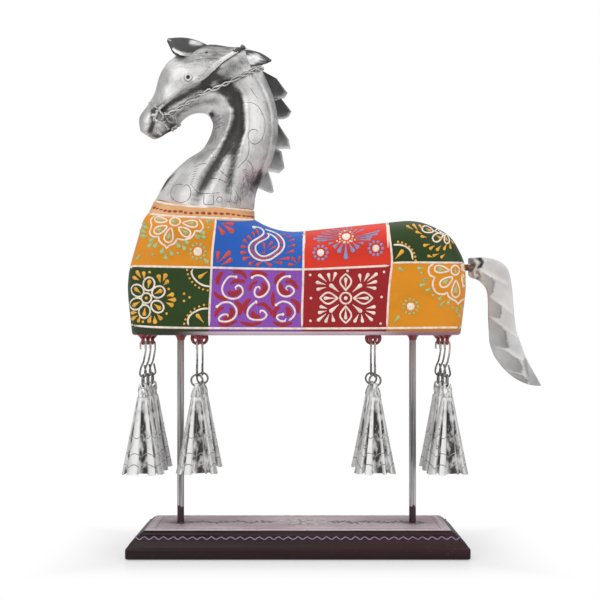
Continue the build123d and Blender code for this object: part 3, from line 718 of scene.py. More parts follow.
for crescent, width in (([(222.6, 272), (218.2, 277.6), (217.6, 284.3)], 2.3),
                        ([(232.7, 271.7), (241.6, 272.6), (246.6, 278.7)], 2.0),
                        ([(231, 284.3), (234.9, 280.9), (245.5, 281.5)], 1.9),
                        ([(227.7, 291.6), (232.7, 294), (238.5, 291.9), (241, 289.4)], 2.9),
                        ([(214.3, 291.5), (218.2, 296.6), (227.1, 299.8)], 2.1),
                        ([(250, 275.4), (256.1, 272.4), (267.3, 275.4)], 2.3),
                        ([(249.4, 291), (251.7, 284.3), (257.2, 281.5)], 1.8),
                        ([(257, 293.9), (262, 292.4), (264.8, 287.6), (262.2, 282.6)], 2.8),
                        ([(275.6, 284.3), (277.3, 277.6), (285.1, 272.6)], 2.1),
                        ([(280.5, 283.2), (281.3, 289.6), (286.3, 293.2), (290.2, 291.9)], 2.7),
                        ([(285.1, 282.1), (291.8, 281.5), (298, 289.3)], 2.2),
                        ([(273.4, 292.1), (272.9, 298.8), (272.9, 306.6)], 1.9),
                        ([(214.8, 316.7), (218.2, 310), (223.8, 307.2)], 2.0),
                        ([(223, 318.6), (228.9, 317.8), (232.2, 312.2), (230.4, 307.7)], 2.7),
                        ([(234.6, 301), (240.5, 306.6), (239, 315.5)], 2.3),
                        ([(218.2, 323.3), (226, 324.9), (237.1, 320.6)], 1.8),
                        ([(250.5, 298.8), (245, 304.4), (245.4, 313.3)], 2.4),
                        ([(251.7, 311.2), (254.2, 316), (260.2, 316.7)], 2.6),
                        ([(257.2, 304.9), (263.9, 304.4), (270.6, 311.1), (270.8, 315.5)], 2.0),
                        ([(240.5, 321.9), (250.5, 324.6), (261.7, 321.9)], 1.8),
                        ([(274, 317.8), (275.1, 310), (279.6, 306.6)], 2.2),
                        ([(286.3, 306.6), (289, 312.2), (286.8, 316.2)], 2.6),
                        ([(290.7, 299.3), (297.6, 304.4), (297.6, 313.3)], 2.2),
                        ([(272.9, 321.9), (281.8, 325), (292.4, 322.8)], 1.9)):
    hits = hits_along(wood_skin, crescent, 1.2)
    swell = [abs(math.sin(math.pi * n / (len(hits) - 1))) ** 0.6 for n in range(len(hits))]
    stroke("deep_red", hits, [1.5 * width * (0.3 + 0.7 * share) for share in swell], 0.22)

# dark red panel below: four long looped petals round a ring, four drops between and five drops in each corner
cross_x, cross_y = 345.7, 298.2
loop("cream", cross_x, cross_y, 5.6, 5.6, 0, 1.25)
dot("cream", cross_x, cross_y, 1.9, 0.8)
for sx, sy, reach in ((0, -1, 24.2), (0, 1, 24.8), (-1, 0, 25.6), (1, 0, 26.8)):
    near, half, tip = 7.8, 5.6, reach - 5.2
    lens = [(near + (reach - near) * n / 15, half * math.sin(math.pi * (n / 15) ** 1.15)) for n in range(16)]
    outline = lens + [(run, -off) for run, off in lens[-2:0:-1]]
    petal = [(cross_x + sx * run + sy * off, cross_y + sy * run + sx * off) for run, off in outline]
    line("cream", petal, 1.25, closed=True)
    drop("cream", (cross_x + sx * tip, cross_y + sy * tip),
         (cross_x + sx * (near + 4), cross_y + sy * (near + 4)), 3.4)
for sx, sy in ((-1, -1), (1, -1), (-1, 1), (1, 1)):
    drop("cream", (cross_x + sx * 14.5, cross_y + sy * 12.6), (cross_x + sx * 8.2, cross_y + sy * 7.4), 4.2)
for heads, aim in (([(319.6, 275.3), (328.5, 274.6), (335.4, 273.8), (317.4, 282.4),
                     (318.1, 289.3)], (331, 286)),
                   ([(359.7, 275.3), (368, 274.6), (376.2, 274.2), (375.5, 281.7),
                     (374.8, 288.2)], (361.4, 286)),
                   ([(321.1, 306.8), (319.6, 312.6), (318.6, 320), (326, 321.2), (333.4, 320.4)], (331, 309.6)),
                   ([(374, 306.8), (373.8, 313), (371.4, 319.6), (362.4, 321.2), (355, 321.2)], (361, 309.6))):
    for px, py in heads:
        dx, dy = aim[0] - px, aim[1] - py
        drop("cream", (px, py), (px + dx * 0.5, py + dy * 0.5), 3.5)
dots("cream", 1.3, (347.6, 271), (310.2, 275), (384, 272), (311, 298.2), (381.6, 297), (310.5, 320.9),
      (380.6, 323.6))

# orange panel below: the scalloped spray again from the other corner, with looped petals and mint drops
line("cream", [(433.8, 263.8), (429.4, 267), (428.6, 271.8), (430.8, 276), (434.8, 277.4), (433, 281.4),
               (432.9, 286.2), (435.2, 291.4), (439.2, 294), (444.4, 294.2), (447.2, 292.4), (448.4, 296.4),
               (452.2, 299.2), (456.4, 301.6), (458, 304.2), (460.6, 301), (464.6, 298.4)], 1.3)
for px, py, rx, ry, tilt, point in ((441.8, 269.4, 7.4, 4.4, 8, 0.75), (455.2, 270.2, 4.2, 4.8, 0, 0.0),
                                    (446.6, 281.6, 7.4, 5.0, -36, 0.7), (455.8, 289, 8.4, 5.0, -88, 0.75),
                                    (464.6, 280.6, 6.4, 3.6, -112, 0.6), (464.6, 267.6, 3.4, 2.0, 90, 0.3)):
    loop("cream", px, py, rx, ry, tilt, 1.2, point)
drops("mint", (439.4, 269, 444, 270.2, 4), (455.6, 271.6, 455, 268.6, 3), (445, 282.2, 448.6, 279.8, 4.2),
      (455.6, 291, 456.2, 285.8, 4.2), (464, 281.6, 465, 278, 2.4))
drops("mint", (399.5, 268.8, 403.5, 271.4, 3.6), (418.6, 268.4, 423, 268, 3.4),
      (423.2, 280.4, 427.4, 278.4, 3.4), (421, 285.4, 425.8, 284.2, 3.4), (427.2, 290.4, 431, 288, 3.4),
      (439.4, 299, 441.6, 295.8, 3.4), (441, 305, 444.4, 301.4, 3.4), (448, 303.5, 449.8, 300, 3.2),
      (456.8, 311.4, 456.6, 307.4, 3.2), (462, 309, 460, 305.4, 3), (459.4, 316.4, 458.2, 312.8, 3),
      (398.4, 317, 394.8, 321.6, 3.4))
dots("mint", 1.3, (421.5, 273), (433, 295.4), (452.3, 307.8))
dot_flower(410.7, 306.5, "cream", "mint", 3.9, 7.2, size=1.2)

for coat, colour in paints.items():
    laid = finish_named(coat.replace("_", " ") + " raised paint", coat_paint(colour, 0.40, 0.28))
    add_piece("raised_paint_" + coat, *coats[coat], laid, "body_paint")


# Ornament on top of the base: a rosette in the middle, a scroll of leaves along both sides of it and a
# thin border, all laid on by hand and worn with the paint under it.
def on_board(x, y):
    return Vector((x, y, board_top)), Vector((0, 0, 1))


def leaf(coat, x, y, lean, long, wide):
    way = Vector((math.cos(math.radians(lean)), math.sin(math.radians(lean)), 0))
    shape = [(0.0, 0.12), (0.15, 0.5), (0.35, 0.9), (0.55, 1.0), (0.78, 0.7), (1.0, 0.12)]
    hits = [on_board(*(Vector((x, y, 0)) + way * long * t)[:2]) for t, _ in shape]
    stroke(coat, hits, [wide * share for _, share in shape], 0.3, (1,))


coats = {}
board_hand = random.Random(12)
rosette_x, rosette_y, petals = 3, 1.5, 14
for k in range(petals):
    lean = 360 / petals * k
    c, s = math.cos(math.radians(lean)), math.sin(math.radians(lean))
    leaf("board_cream" if k % 2 else "board_sage", rosette_x + 3.6 * c, rosette_y + 3.6 * s, lean, 9.5, 3.0)
    leaf("board_sage" if k % 2 else "board_cream", rosette_x + 14.2 * c, rosette_y + 14.2 * s, lean, 4.2, 2.2)
for k in range(8):
    leaf("board_sage", rosette_x, rosette_y, 45 * k + 20, 2.8, 2.2)
for side in (1, -1):
    stem = [(rosette_x + side * (17 + 2.2 * n), rosette_y + 2.2 * math.sin(0.55 * n)) for n in range(33)]
    stroke("board_grey", [on_board(*place) for place in stem], 0.9, 0.25, (1,))
    for n in range(2, 33):
        x, y = stem[n]
        up = 1 if n % 2 else -1
        lean = (62 if side > 0 else 118) * up + board_hand.uniform(-14, 14)
        long = 8.0 - 0.10 * n + board_hand.uniform(-1, 1)
        leaf("board_grey" if n % 3 else "board_sage", x, y, lean, long, 3.1 - 0.03 * n)
        if n % 4 == 0:
            leaf("board_cream", x + side * 1.2, y + 9.0 * up, lean, 3.2, 1.5)
for inset_x, inset_y, wide in ((15.6, 15.0, 1.5), (18.8, 18.2, 0.5)):
    half_x, half_y = base_length / 2 - inset_x, base_width / 2 - inset_y
    corners = [(-half_x, -half_y), (half_x, -half_y), (half_x, half_y), (-half_x, half_y)]
    for (ax, ay), (bx, by) in zip(corners, corners[1:] + corners[:1]):
        run = []
        for n in range(25):
            y = ay + (by - ay) * n / 24 + board_hand.uniform(-0.12, 0.12)
            run.append(on_board(ax + (bx - ax) * n / 24, y))
        stroke("board_cream" if wide > 1 else "board_grey", run, wide, 0.25, (1,))
for coat, colour in (("board_cream", (0.70, 0.63, 0.62)), ("board_sage", (0.36, 0.40, 0.36)),
                     ("board_grey", (0.16, 0.165, 0.15))):
    laid = finish_named(coat.replace("_", " ") + " paint", coat_paint(colour, 0.45, 0.45))
    add_piece(coat + "_paint", *coats[coat], laid, "base_paint")


# Screw eyes: ten iron screws with a round eye, turned up into the underside of the body. They are
# thick with dark red paint, which has also run out round each shank and round the tops of the rods.
def red_gloss(t):
    cloud = t.noise(420, detail=4)
    return {"Base Color": t.mix((0.13, 0.006, 0.010), (0.34, 0.014, 0.022), cloud.step(0.3, 0.7)),
            "Roughness": 0.22 + 0.2 * cloud, "Coat Weight": 0.3, "Height": (0.4, 0.0006, cloud)}


end_spacing, side_spacing = 27.5, 24.0
sets = (("chest", -110.0, True), ("front", -72.0, False), ("rear", 55.0, False), ("rump", 106.0, True))
hangers = []
for set_name, x, across_end in sets:
    for side, step in (("near", -1), ("middle", 0), ("far", 1)):
        if step or across_end:
            spacing = end_spacing if across_end else side_spacing
            hangers.append((f"{set_name}_{side}", x, step * spacing, across_end))

axis_x, axis_y, axis_z = Vector((1, 0, 0)), Vector((0, 1, 0)), Vector((0, 0, 1))
eyes, runs = [], []
for _, x, y, across_end in hangers:
    wide, high, middle = (2.45, 2.5, 152.4) if across_end else (3.3, 3.45, 153.4)
    level = axis_y if across_end else axis_x
    centre, thicker = Vector((x, y, middle)), 0.08 if across_end else 0.75
    route = [centre + level * (wide * math.sin(a)) - axis_z * (high * math.cos(a)) for a in turns_of(28)]
    fat = [1.02 + thicker * (0.5 - 0.5 * math.cos(a)) for a in turns_of(28)]
    eyes.append(tube(route, fat, 10, closed=True))
    eyes.append(tube([Vector((x, y, z)) for z in (154.5, 158, 164, 168)], [1.1, 1.1, 1.0, 0.5], 10))
    low = 2.0 if across_end else 2.3
    runs.append((x, y, ((156.6, 4.4), (156.0, 3.9), (155.3, 3.2), (154.6, 2.5), (153.9, low), (153.2, 1.2))))
for x in rods_x:
    runs.append((x, 0.0, ((156.6, 4.9), (156.0, 4.4), (155.2, 3.7), (154.4, 3.2), (153.2, 2.85), (152.4, 2.6))))
red_paint = finish_named("dark red gloss paint", red_gloss)
screw_eyes = add_piece("screw_eyes_painted", *joined(eyes), red_paint, "eye_paint")
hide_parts("screw_eyes")
spread = []
for x, y, profile in runs:
    spread.append(skin([[(x + reach * (1 + 0.09 * math.sin(3 * a + x)) * math.cos(a), y + reach * math.sin(a),
                          foot) for a in turns_of(20)] for foot, reach in profile]))
add_piece("red_paint_runs", *joined(spread), red_paint, "eye_paint")


# Hooks and rings: each bell hangs on a long hook bent from steel wire, with a short tail over the
# screw eye and a turned-up end below, and on a ring of the same wire that runs through the bell's neck.
def grey_wire(t):
    cloud = t.noise(700, detail=3)
    fine = t.noise(2600, (1, 1, 0.1), 2)
    steel = t.mix((0.10, 0.098, 0.095), (0.30, 0.29, 0.285), cloud.step(0.3, 0.65))
    steel = t.mix(steel, (0.62, 0.58, 0.55), t.axes()[2].step(0.138, 0.146) * 0.8)
    return {"Base Color": t.mix(steel, (0.16, 0.09, 0.06), cloud.step(0.68, 0.8) * 0.5), "Metallic": 0.9,
            "Roughness": 0.34 + 0.2 * fine, "Height": (0.3, 0.0002, fine + cloud)}


hook_pivot, hook_foot, ring_middle = 149.8, 126.2, 123.65
top_bend, foot_bend, ring_radius, hook_thick, ring_thick = 1.85, 2.2, 4.05, 0.68, 0.72
half_turn = [math.radians(15 * k) for k in range(13)]
steel_wire = finish_named("grey steel wire", grey_wire)
up = axis_z
for name, x, y, across_end in hangers:
    swing, eye_run, turn = (axis_x, axis_y, -1) if across_end else (axis_y, axis_x, 1)
    pivot, foot = Vector((x, y, hook_pivot)), Vector((x, y, hook_foot + foot_bend))
    route = [pivot - swing * 1.7 - up * 3.9, pivot - swing * 1.84 - up * 2.0]
    route += [pivot - swing * (top_bend * math.cos(a)) + up * (top_bend * math.sin(a)) for a in half_turn]
    leg = [(0.06, 1.95), (0.18, 1.96), (0.34, 1.5 if across_end else 2.05), (0.6, 0.35 if across_end else 2.12),
           (0.8, 1.55 * turn), (0.94, 2.15 * turn)]
    route += [pivot * (1 - share) + foot * share + swing * out for share, out in leg]
    route += [foot + swing * (foot_bend * turn * math.cos(a))
              - up * (foot_bend * math.sin(a)) for a in half_turn]
    route += [foot - swing * (out * turn) + up * rise for out, rise in ((1.95, 2.0), (1.35, 4.6), (0.9, 6.4))]
    hook = add_piece(name + "_hook_wire", *tube(route, hook_thick, 10), steel_wire, "wire", name + "_hook")
    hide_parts(name + "_hook")
    middle = Vector((x, y, ring_middle))
    hoop = [middle + (eye_run * math.cos(a) + up * math.sin(a)) * ring_radius for a in turns_of(40)]
    ring_wire = tube(hoop, ring_thick, 10, closed=True)
    ring = add_piece(name + "_ring_wire", *ring_wire, steel_wire, "wire", name + "_ring")
    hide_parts(name + "_ring")


# Bells: thin sheet pressed into deep pleats and rolled to a cone, its top pinched flat and pierced
# for the ring. The pleats are stamped with swags, rosettes and arches; shade is painted into the folds,
# the inside and the crumpled neck, so the pleat faces stand out bright.
bell_mouth, bell_shoulder, bell_top, bell_hole, hole_radius = 57.2, 111.8, 121.8, 119.5, 1.65
mouth_half, shoulder_half, bell_flat, bell_sheet = 15.25, 4.2, 0.787, 0.75
pleats, around = 8, 126


def stamped_sheet(t):
    x, y, z = t.axes()
    turn = t.sum("ARCTAN2", y * 1.27, x)
    swag = t.sum("ABSOLUTE", t.sum("SINE", turn * (pleats / 2)))
    cloud, fine = t.noise(130, detail=4), t.noise(1400, (1, 1, 0.25), 3)

    def stamped(level, dip, wide):
        return t.sum("ABSOLUTE", z - (level - dip * swag)).step(wide, wide * 0.4)

    cell = t.sum("ABSOLUTE", t.sum("FRACT", turn * (pleats / 6.2832) + 0.5) - 0.5)
    reach = 0.0066 * cell
    rosette, small = (t.sum("SQRT", reach * reach * 4 + (z - level) * (z - level))
                      for level in (0.0768, 0.0895))
    marks = stamped(0.0862, 0.0032, 0.00042)
    for mark in (stamped(0.0700, -0.0026, 0.0004), stamped(0.0618, -0.0030, 0.00045),
                 t.sum("ABSOLUTE", rosette - 0.0011).step(0.0005, 0.0002), small.step(0.0009, 0.0005)):
        marks = t.sum("MAXIMUM", marks, mark)
    # the hollow attribute is painted shade: in the folds, inside the bell and in streaks on its neck; the
    # stamped marks show lighter where they cross it
    hollow = t.make("ShaderNodeAttribute", {"attribute_name": "hollow"}, out=2)
    sheet = t.mix((0.60, 0.60, 0.59), (0.82, 0.82, 0.81), cloud.step(0.26, 0.52))
    shade_patches = t.noise(240, (1, 1, 0.45), 4)
    fold_shade = t.mix(sheet, (0.05, 0.046, 0.044), hollow * (0.25 + 0.85 * shade_patches.step(0.36, 0.60)))
    dark = t.mix(fold_shade, t.mix((0.09, 0.085, 0.08), (0.45, 0.44, 0.43), hollow.step(0.3, 0.8)), marks * 0.75)
    speck = t.mix(dark, (0.10, 0.09, 0.09), fine.step(0.66, 0.75) * cloud.step(0.5, 0.7) * 0.6)
    return {"Base Color": speck, "Metallic": 0.70, "Roughness": 0.36 + 0.18 * cloud,
            "Height": (0.45, 0.0007, 0.9 * marks + 0.3 * cloud + 0.15 * fine)}


def pleat_face(a, seed):
    """How far across a pleat's raised face an angle lies: 0 in the fold, 1 on the face."""
    warped = a + 0.16 * math.sin(2 * a + seed) + 0.08 * math.sin(3 * a + 2 * seed)
    gap = abs((a - math.radians(281 - 5 * math.sin(seed * 1.7)) + math.pi) % (2 * math.pi) - math.pi)
    share = min(max(0.0, abs(math.sin(pleats * warped / 2)) - 0.30) / 0.34, max(0.0, gap - 0.20) / 0.10)
    return 1.0 if share >= 1 else share * share * (3 - 2 * share)


def bored(points, faces, bore):
    """A closed skin with a hole cut through it by another closed skin."""
    made = []
    for spot, (spot_points, spot_faces) in enumerate(((points, faces), bore)):
        mesh = bpy.data.meshes.new(f"cutting_{spot}")
        mesh.from_pydata([Vector(p) for p in spot_points], [], spot_faces)
        made.append(bpy.data.objects.new(f"cutting_{spot}", mesh))
        bpy.context.scene.collection.objects.link(made[-1])
    cut = made[0].modifiers.new("cut", "BOOLEAN")
    cut.operation, cut.object, cut.solver = "DIFFERENCE", made[1], "EXACT"
    shape = bpy.data.meshes.new_from_object(made[0].evaluated_get(bpy.context.evaluated_depsgraph_get()))
    found = [tuple(v.co) for v in shape.vertices], [tuple(f.vertices) for f in shape.polygons]
    for piece in made:
        bpy.data.objects.remove(piece)
    return found


def bell_shape(across_end, seed):
    """One bell about its own axis: points, faces and how much painted shade each point gets."""
    wobble = random.Random(seed)
    rings, hollows = [], []
    levels = [0.0, 0.012, 0.03] + [0.03 + 0.89 * k / 26 for k in range(1, 27)] + [0.945, 0.97, 0.99, 1.0]
    for t in levels:
        ring = []
        for a in turns_of(around):
            face = pleat_face(a, seed)
            fold = 1 - face
            fade = min(1.0, max(0.0, (0.965 - t - 0.03 * face) / 0.05))
            half = mouth_half + (shoulder_half - mouth_half) * t
            belly = math.sin(math.pi * t)
            share = (1 - (0.105 + 0.05 * belly) * fold * fade) * (0.995 - 0.012 * belly)
            lip = max(0.0, 1 - t / 0.03) * (1.3 * fold + 0.35 * (0.5 + 0.5 * math.sin(3 * a + seed)))
            ring.append((half * share * math.cos(a), half * share * bell_flat * math.sin(a),
                         bell_mouth + lip + (bell_shoulder - bell_mouth) * t))
            hollows.append(min(1.0, fold * fade * 1.3))
        rings.append(ring)
    inner = []
    for i in (len(rings) - 4, 20, 14, 8, 3, 0):
        thinner = [(x, y, z, 1 - bell_sheet / math.hypot(x, y)) for x, y, z in rings[i]]
        inner.append([(x * share, y * share, z) for x, y, z, share in thinner])
    shell_points, shell_faces = skin(inner + rings, True, False)
    shell_faces.append(tuple(range(around)))
    # the inside of the shell gets full painted shade
    shade = [1.0] * (len(inner) * around) + hollows
    neck_rings, bumps = [], [wobble.uniform(0, 6) for _ in range(6)]
    for level, half, other in ((-9.9, 4.2, 3.35), (-9.0, 4.15, 3.3), (-7.4, 4.0, 3.3), (-5.8, 3.75, 3.3),
                               (-4.4, 3.1, 3.2), (-2.8, 2.1, 3.1), (-1.2, 1.8, 2.95),
                               (-0.3, 1.55, 2.6), (0.0, 1.0, 1.8)):
        half_x, half_y = (other, half) if across_end else (half, other)
        ring = []
        for a in turns_of(32):
            crush = 1.0
            if level < -2.6:
                for depth, rate, start, lean in ((0.07, 3, bumps[0], 0.5), (0.05, 7, bumps[1], -0.9),
                                                 (0.03, 11, bumps[2], 1.7)):
                    crush += depth * math.sin(rate * a + start + lean * level)
            ring.append((half_x * crush * math.copysign(abs(math.cos(a)) ** 0.8, math.cos(a)),
                         half_y * crush * math.copysign(abs(math.sin(a)) ** 0.8,
                                                        math.sin(a)), bell_top + level))
        neck_rings.append(ring)
    way, hole = axis_y if across_end else axis_x, axis_z * bell_hole
    neck = bored(*skin(neck_rings), tube([hole - way * 6, hole + way * 6], hole_radius, 20))
    # the crumpled neck gets streaks of painted shade
    shade += [0.34 + 0.42 * math.sin(2.4 * (x + y) + 0.3 * z + bumps[3])
              + 0.25 * math.sin(1.5 * z + 2.2 * x + bumps[4]) for x, y, z in neck[0]]
    return joined([(shell_points, shell_faces), neck]), shade


bell_finish = finish_named("stamped bell sheet", stamped_sheet)
for number, (name, x, y, across_end) in enumerate(hangers):
    (points, faces), shade = bell_shape(across_end, 3 * number + 1)
    bell = add_piece(name + "_bell_sheet", points, faces, bell_finish, "bell_sheet", name + "_bell")
    bell.data.set_sharp_from_angle(angle=math.radians(50))
    hollow = bell.data.attributes.new("hollow", "FLOAT", "POINT")
    hollow.data.foreach_set("value", shade)
    bell.location = (x * mm, y * mm, 0)
    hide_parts(name + "_bell")


# Head and neck: two shells of beaten sheet metal, one for each side, seamed along the front and the
# back and pushed over a wooden plug on the collar. Folds run down the neck; shade and dark reflections
# are painted into the folds and over the flat planes, and highlights along the ridges.
head_cuts = [(-104.6, 255.0, -32.2, 248.2, 27.0), (-99.2, 265.0, -30.0, 262.2, 25.9),
             (-93.6, 273.2, -22.5, 275.2, 24.3), (-81.5, 284.6, -16.8, 289.9, 22.1),
             (-70.1, 292.2, -14.6, 303.3, 20.0), (-64.2, 302.2, -14.7, 315.2, 18.4),
             (-62.3, 309.7, -17.3, 329.1, 17.3), (-63.4, 313.8, -24.6, 347.4, 16.7),
             (-66.0, 317.2, -33.4, 365.0, 16.7), (-70.0, 318.7, -50.0, 367.5, 17.6),
             (-76.0, 318.4, -68.0, 368.8, 18.6), (-82.1, 315.4, -90.7, 360.0, 17.8),
             (-86.3, 311.2, -100.5, 348.6, 15.4), (-90.5, 307.0, -104.9, 334.2, 12.7),
             (-96.0, 304.1, -110.0, 325.0, 11.1), (-101.5, 300.6, -116.3, 315.6, 10.3),
             (-105.5, 299.6, -115.6, 305.8, 6.5)]

# routes in points of the side view, with how wide, how far in or out, and how much painted shade each
# lays on (painted highlight below zero)
folds = [([(228.3, 85.8), (235.2, 97.4), (237.5, 108.9), (238.1, 120.5), (234, 132), (226, 145.9),
           (217.9, 159.8), (209.8, 172.5), (201.7, 186.4), (195.9, 201.4)], 6.2, -3.4, 0.95),
         ([(236, 118), (235, 130), (229, 146)], 8.5, -0.6, 0.40),
         ([(241, 129.7), (237.5, 143.6), (234.6, 155.2), (232.9, 166.7), (229.4, 180.6), (225.6, 195.6),
           (223.5, 206)], 4.6, -1.9, 0.80),
         ([(238, 92), (239.5, 104), (240.5, 117), (240, 130)], 3.4, -0.6, 0.55),
         ([(228.5, 96), (231.3, 107), (231.8, 116), (229.6, 127), (224.5, 138.5), (217.2, 150.5), (209, 162.5),
           (201.5, 175), (194, 189)], 3.6, 1.9, -0.30),
         ([(231, 148), (226.5, 160), (222, 172), (216, 186), (210, 201)], 4.0, 1.3, -0.15),
         ([(247, 108), (247, 125), (244.5, 140), (242, 152), (240, 165), (237, 180),
           (233, 198)], 5.0, 1.1, -0.15),
         ([(250, 73), (256.5, 80), (262, 90), (266.5, 101), (269.9, 115.9), (270.5, 132), (267.6, 150.5),
           (261.8, 166.7), (257.3, 181.8)], 1.5, -0.7, 0.42),
         ([(253, 72), (259.5, 79), (265.2, 90), (270.2, 101), (273.6, 116), (274, 132),
           (271, 150)], 1.6, 0.6, 0.12),
         ([(260, 176), (256, 184), (255, 193)], 6.0, -0.5, 0.66),
         ([(250, 172), (249, 184), (245, 198)], 5.5, 0.2, 0.36),
         ([(162.4, 188.7), (167.5, 181), (173.9, 174.8)], 1.5, -0.3, 0.55),
         ([(206, 88.5), (214, 89), (221, 91), (227, 96.5), (231, 104)], 3.4, -1.2, 0.75),
         ([(206, 81), (213, 77), (220, 80.5), (226, 84)], 5.5, -0.5, 0.52),
         ([(205.5, 79), (210.5, 72.5), (217, 67)], 3.0, -0.8, 0.62),
         ([(206, 83.8), (192, 91), (182, 96.6), (172, 102), (163, 107.6)], 4.2, -1.6, 0.84),
         ([(199, 79.5), (189.5, 84.3), (179.5, 90.4), (168.5, 99.8), (160, 106.8)], 2.2, 1.1, -0.10),
         ([(214, 101), (203, 102), (192, 105.5), (184, 109.5), (178, 114)], 4.0, -0.7, 0.46),
         ([(210.8, 114), (212, 115)], 1.5, -0.9, 0.95),
         ([(153.0, 111), (153.8, 119), (151.4, 128)], 3.0, -0.9, 0.85),
         ([(149, 132), (156, 136), (163, 134.5), (172, 129.5)], 3.4, -0.3, 0.62),
         ([(159, 110), (166, 118), (174, 126)], 7.5, -0.9, 0.60),
         ([(186, 60), (198, 56), (212, 54), (228, 52)], 10.0, 0.0, 0.50),
         ([(214, 76), (228, 70), (246, 62)], 8.0, 0.0, 0.46),
         ([(180, 50), (192, 46), (205, 44.5), (222, 44), (243, 46)], 3.2, 0.0, 0.66),
         ([(213, 112), (211.5, 122), (208, 132), (200, 143), (190, 152), (178, 163), (170, 174), (163, 186),
           (158, 197)], 3.2, 0.0, 0.30),
         ([(217, 118), (213.5, 131), (204.5, 145), (192, 159)], 6.5, -0.5, 0.34),
         ([(196, 166), (186, 178), (180, 190)], 9.0, 0.7, 0.02),
         ([(240, 186), (240, 198)], 6.0, 0.0, 0.34),
         ([(181, 193), (182, 194)], 8.0, 0.3, -0.30),
         ([(238.5, 117), (239.5, 126)], 4.2, 0.3, -0.42),
         ([(233.5, 139), (232.6, 147)], 1.2, 0.3, -0.6),
         ([(225, 184), (222, 200)], 3.0, 0.2, -0.20)]


def in_view(x, y, z):
    """The point of the side view at which a place is seen."""
    share = view_scale / (y - sight.y)
    return view_x + (x - sight.x) * share, view_y - (z - sight.z) * share


def route_distance(route, px, py):
    """The square of how far a point is from the nearest part of a route."""
    best = 1e9
    for (ax, ay), (bx, by) in zip(route, route[1:]):
        dx, dy = bx - ax, by - ay
        t = max(0.0, min(1.0, ((px - ax) * dx + (py - ay) * dy) / (dx * dx + dy * dy)))
        best = min(best, (px - ax - t * dx) ** 2 + (py - ay - t * dy) ** 2)
    return best


def fold_sum(marks, px, py):
    """How far in or out a place lies, and how dark it is, from all the folds near it."""
    off = dark = 0.0
    for route, wide, depth, shade in marks:
        share = math.exp(-route_distance(route, px, py) / (wide * wide))
        off += depth * share
        dark += shade * share
    return off, dark


def beaten_sheet(t):
    dark = t.make("ShaderNodeAttribute", {"attribute_name": "dark"}, out=2)
    cloud, fine, dents = t.noise(55, detail=5), t.noise(1100, (1, 1, 0.3), 4), t.noise(150, detail=1)
    streak = t.noise(420, (0.25, 1, 1), 4)
    sheet = t.mix((0.50, 0.495, 0.49), (0.76, 0.755, 0.75), cloud.step(0.30, 0.66))
    # the dark attribute is painted shade and dark studio reflections, and painted highlight below zero
    edge = dark + 0.62 * (streak - 0.5) + 0.34 * (fine - 0.5)
    reflection_and_shade = t.mix(sheet, (0.050, 0.048, 0.047), edge.step(0.02, 0.86) * 0.98)
    specks = (fine.step(0.58, 0.74) * 0.30 + streak.step(0.60, 0.72) * 0.22).clip()
    return {"Base Color": t.mix(reflection_and_shade, (0.12, 0.11, 0.11), specks),
            "Metallic": 0.76 - 0.42 * t.axes()[2].step(0.292, 0.262),
            "Roughness": 0.36 + 0.14 * cloud + 0.16 * dark.clip(),
            "Height": (0.50, 0.0008, dents + 0.35 * cloud + 0.22 * fine)}


beaten_metal = finish_named("beaten sheet metal", beaten_sheet)


def sheet_piece(name, points, faces, darks, node=None, finish=None, smooth_to=50):
    piece = add_piece(name, points, faces, finish or beaten_metal, "sheet")
    piece.data.set_sharp_from_angle(angle=math.radians(smooth_to))
    shade = piece.data.attributes.new("dark", "FLOAT", "POINT")
    shade.data.foreach_set("value", darks)
    if node:
        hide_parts(node)
    return piece


across_count, neck_half = 46, 27
near_rings, darks = [], []
cuts = smooth_run(head_cuts, 3.6, size=4)
for row, (front_x, front_z, back_x, back_z, half) in enumerate(cuts):
    ring, foot = [], max(0.0, 1 - row / 12)
    for n in range(across_count + 1):
        share = (1 - math.cos(math.pi * n / across_count)) / 2
        out = half * (1 - abs(2 * share - 1) ** 2.2)
        x, z = front_x + (back_x - front_x) * share, front_z + (back_z - front_z) * share
        z -= 5.6 * (out / neck_half) ** 2 * foot
        px, py = in_view(x, -out, z)
        off, dark = fold_sum(folds, px, py)
        dark *= 1 - 0.5 * max(0.0, min(1.0, (py - 184) / 14))
        near_seam = min(1.0, out / 5.0)
        across_wave, down_wave = 0.21 * x + 1.3 * math.sin(0.13 * z), 0.17 * z + 0.8 * math.sin(0.19 * x)
        dent = 0.55 * math.sin(across_wave) * math.sin(down_wave)
        ring.append((x, -max(0.0, out + (off * 0.92 + dent) * near_seam), z))
        darks.append(max(-0.3, min(1.0, dark)))
    near_rings.append(ring)
near_points, near_faces = skin(near_rings, False, False)
near_faces.append(tuple(range((len(cuts) - 1) * (across_count + 1), len(cuts) * (across_count + 1))))
near_half = sheet_piece("near_head_sheet", near_points, near_faces, darks, "near_head_half")
far_points, far_faces = [(x, -y, z) for x, y, z in near_points], [face[::-1] for face in near_faces]
sheet_piece("far_head_sheet", far_points, far_faces, darks, "far_head_half")
head_skin = surface_of(near_half)


def engraved(t):
    cloud = t.noise(900, detail=3)
    return {"Base Color": t.mix((0.035, 0.033, 0.033), (0.11, 0.10, 0.10), cloud), "Metallic": 0.6,
            "Roughness": 0.5 + 0.2 * cloud, "Height": (0.2, 0.0002, cloud)}


def scribed(route, width, rise):
    line("engraved", route, width, rise, 2, surface=head_skin)


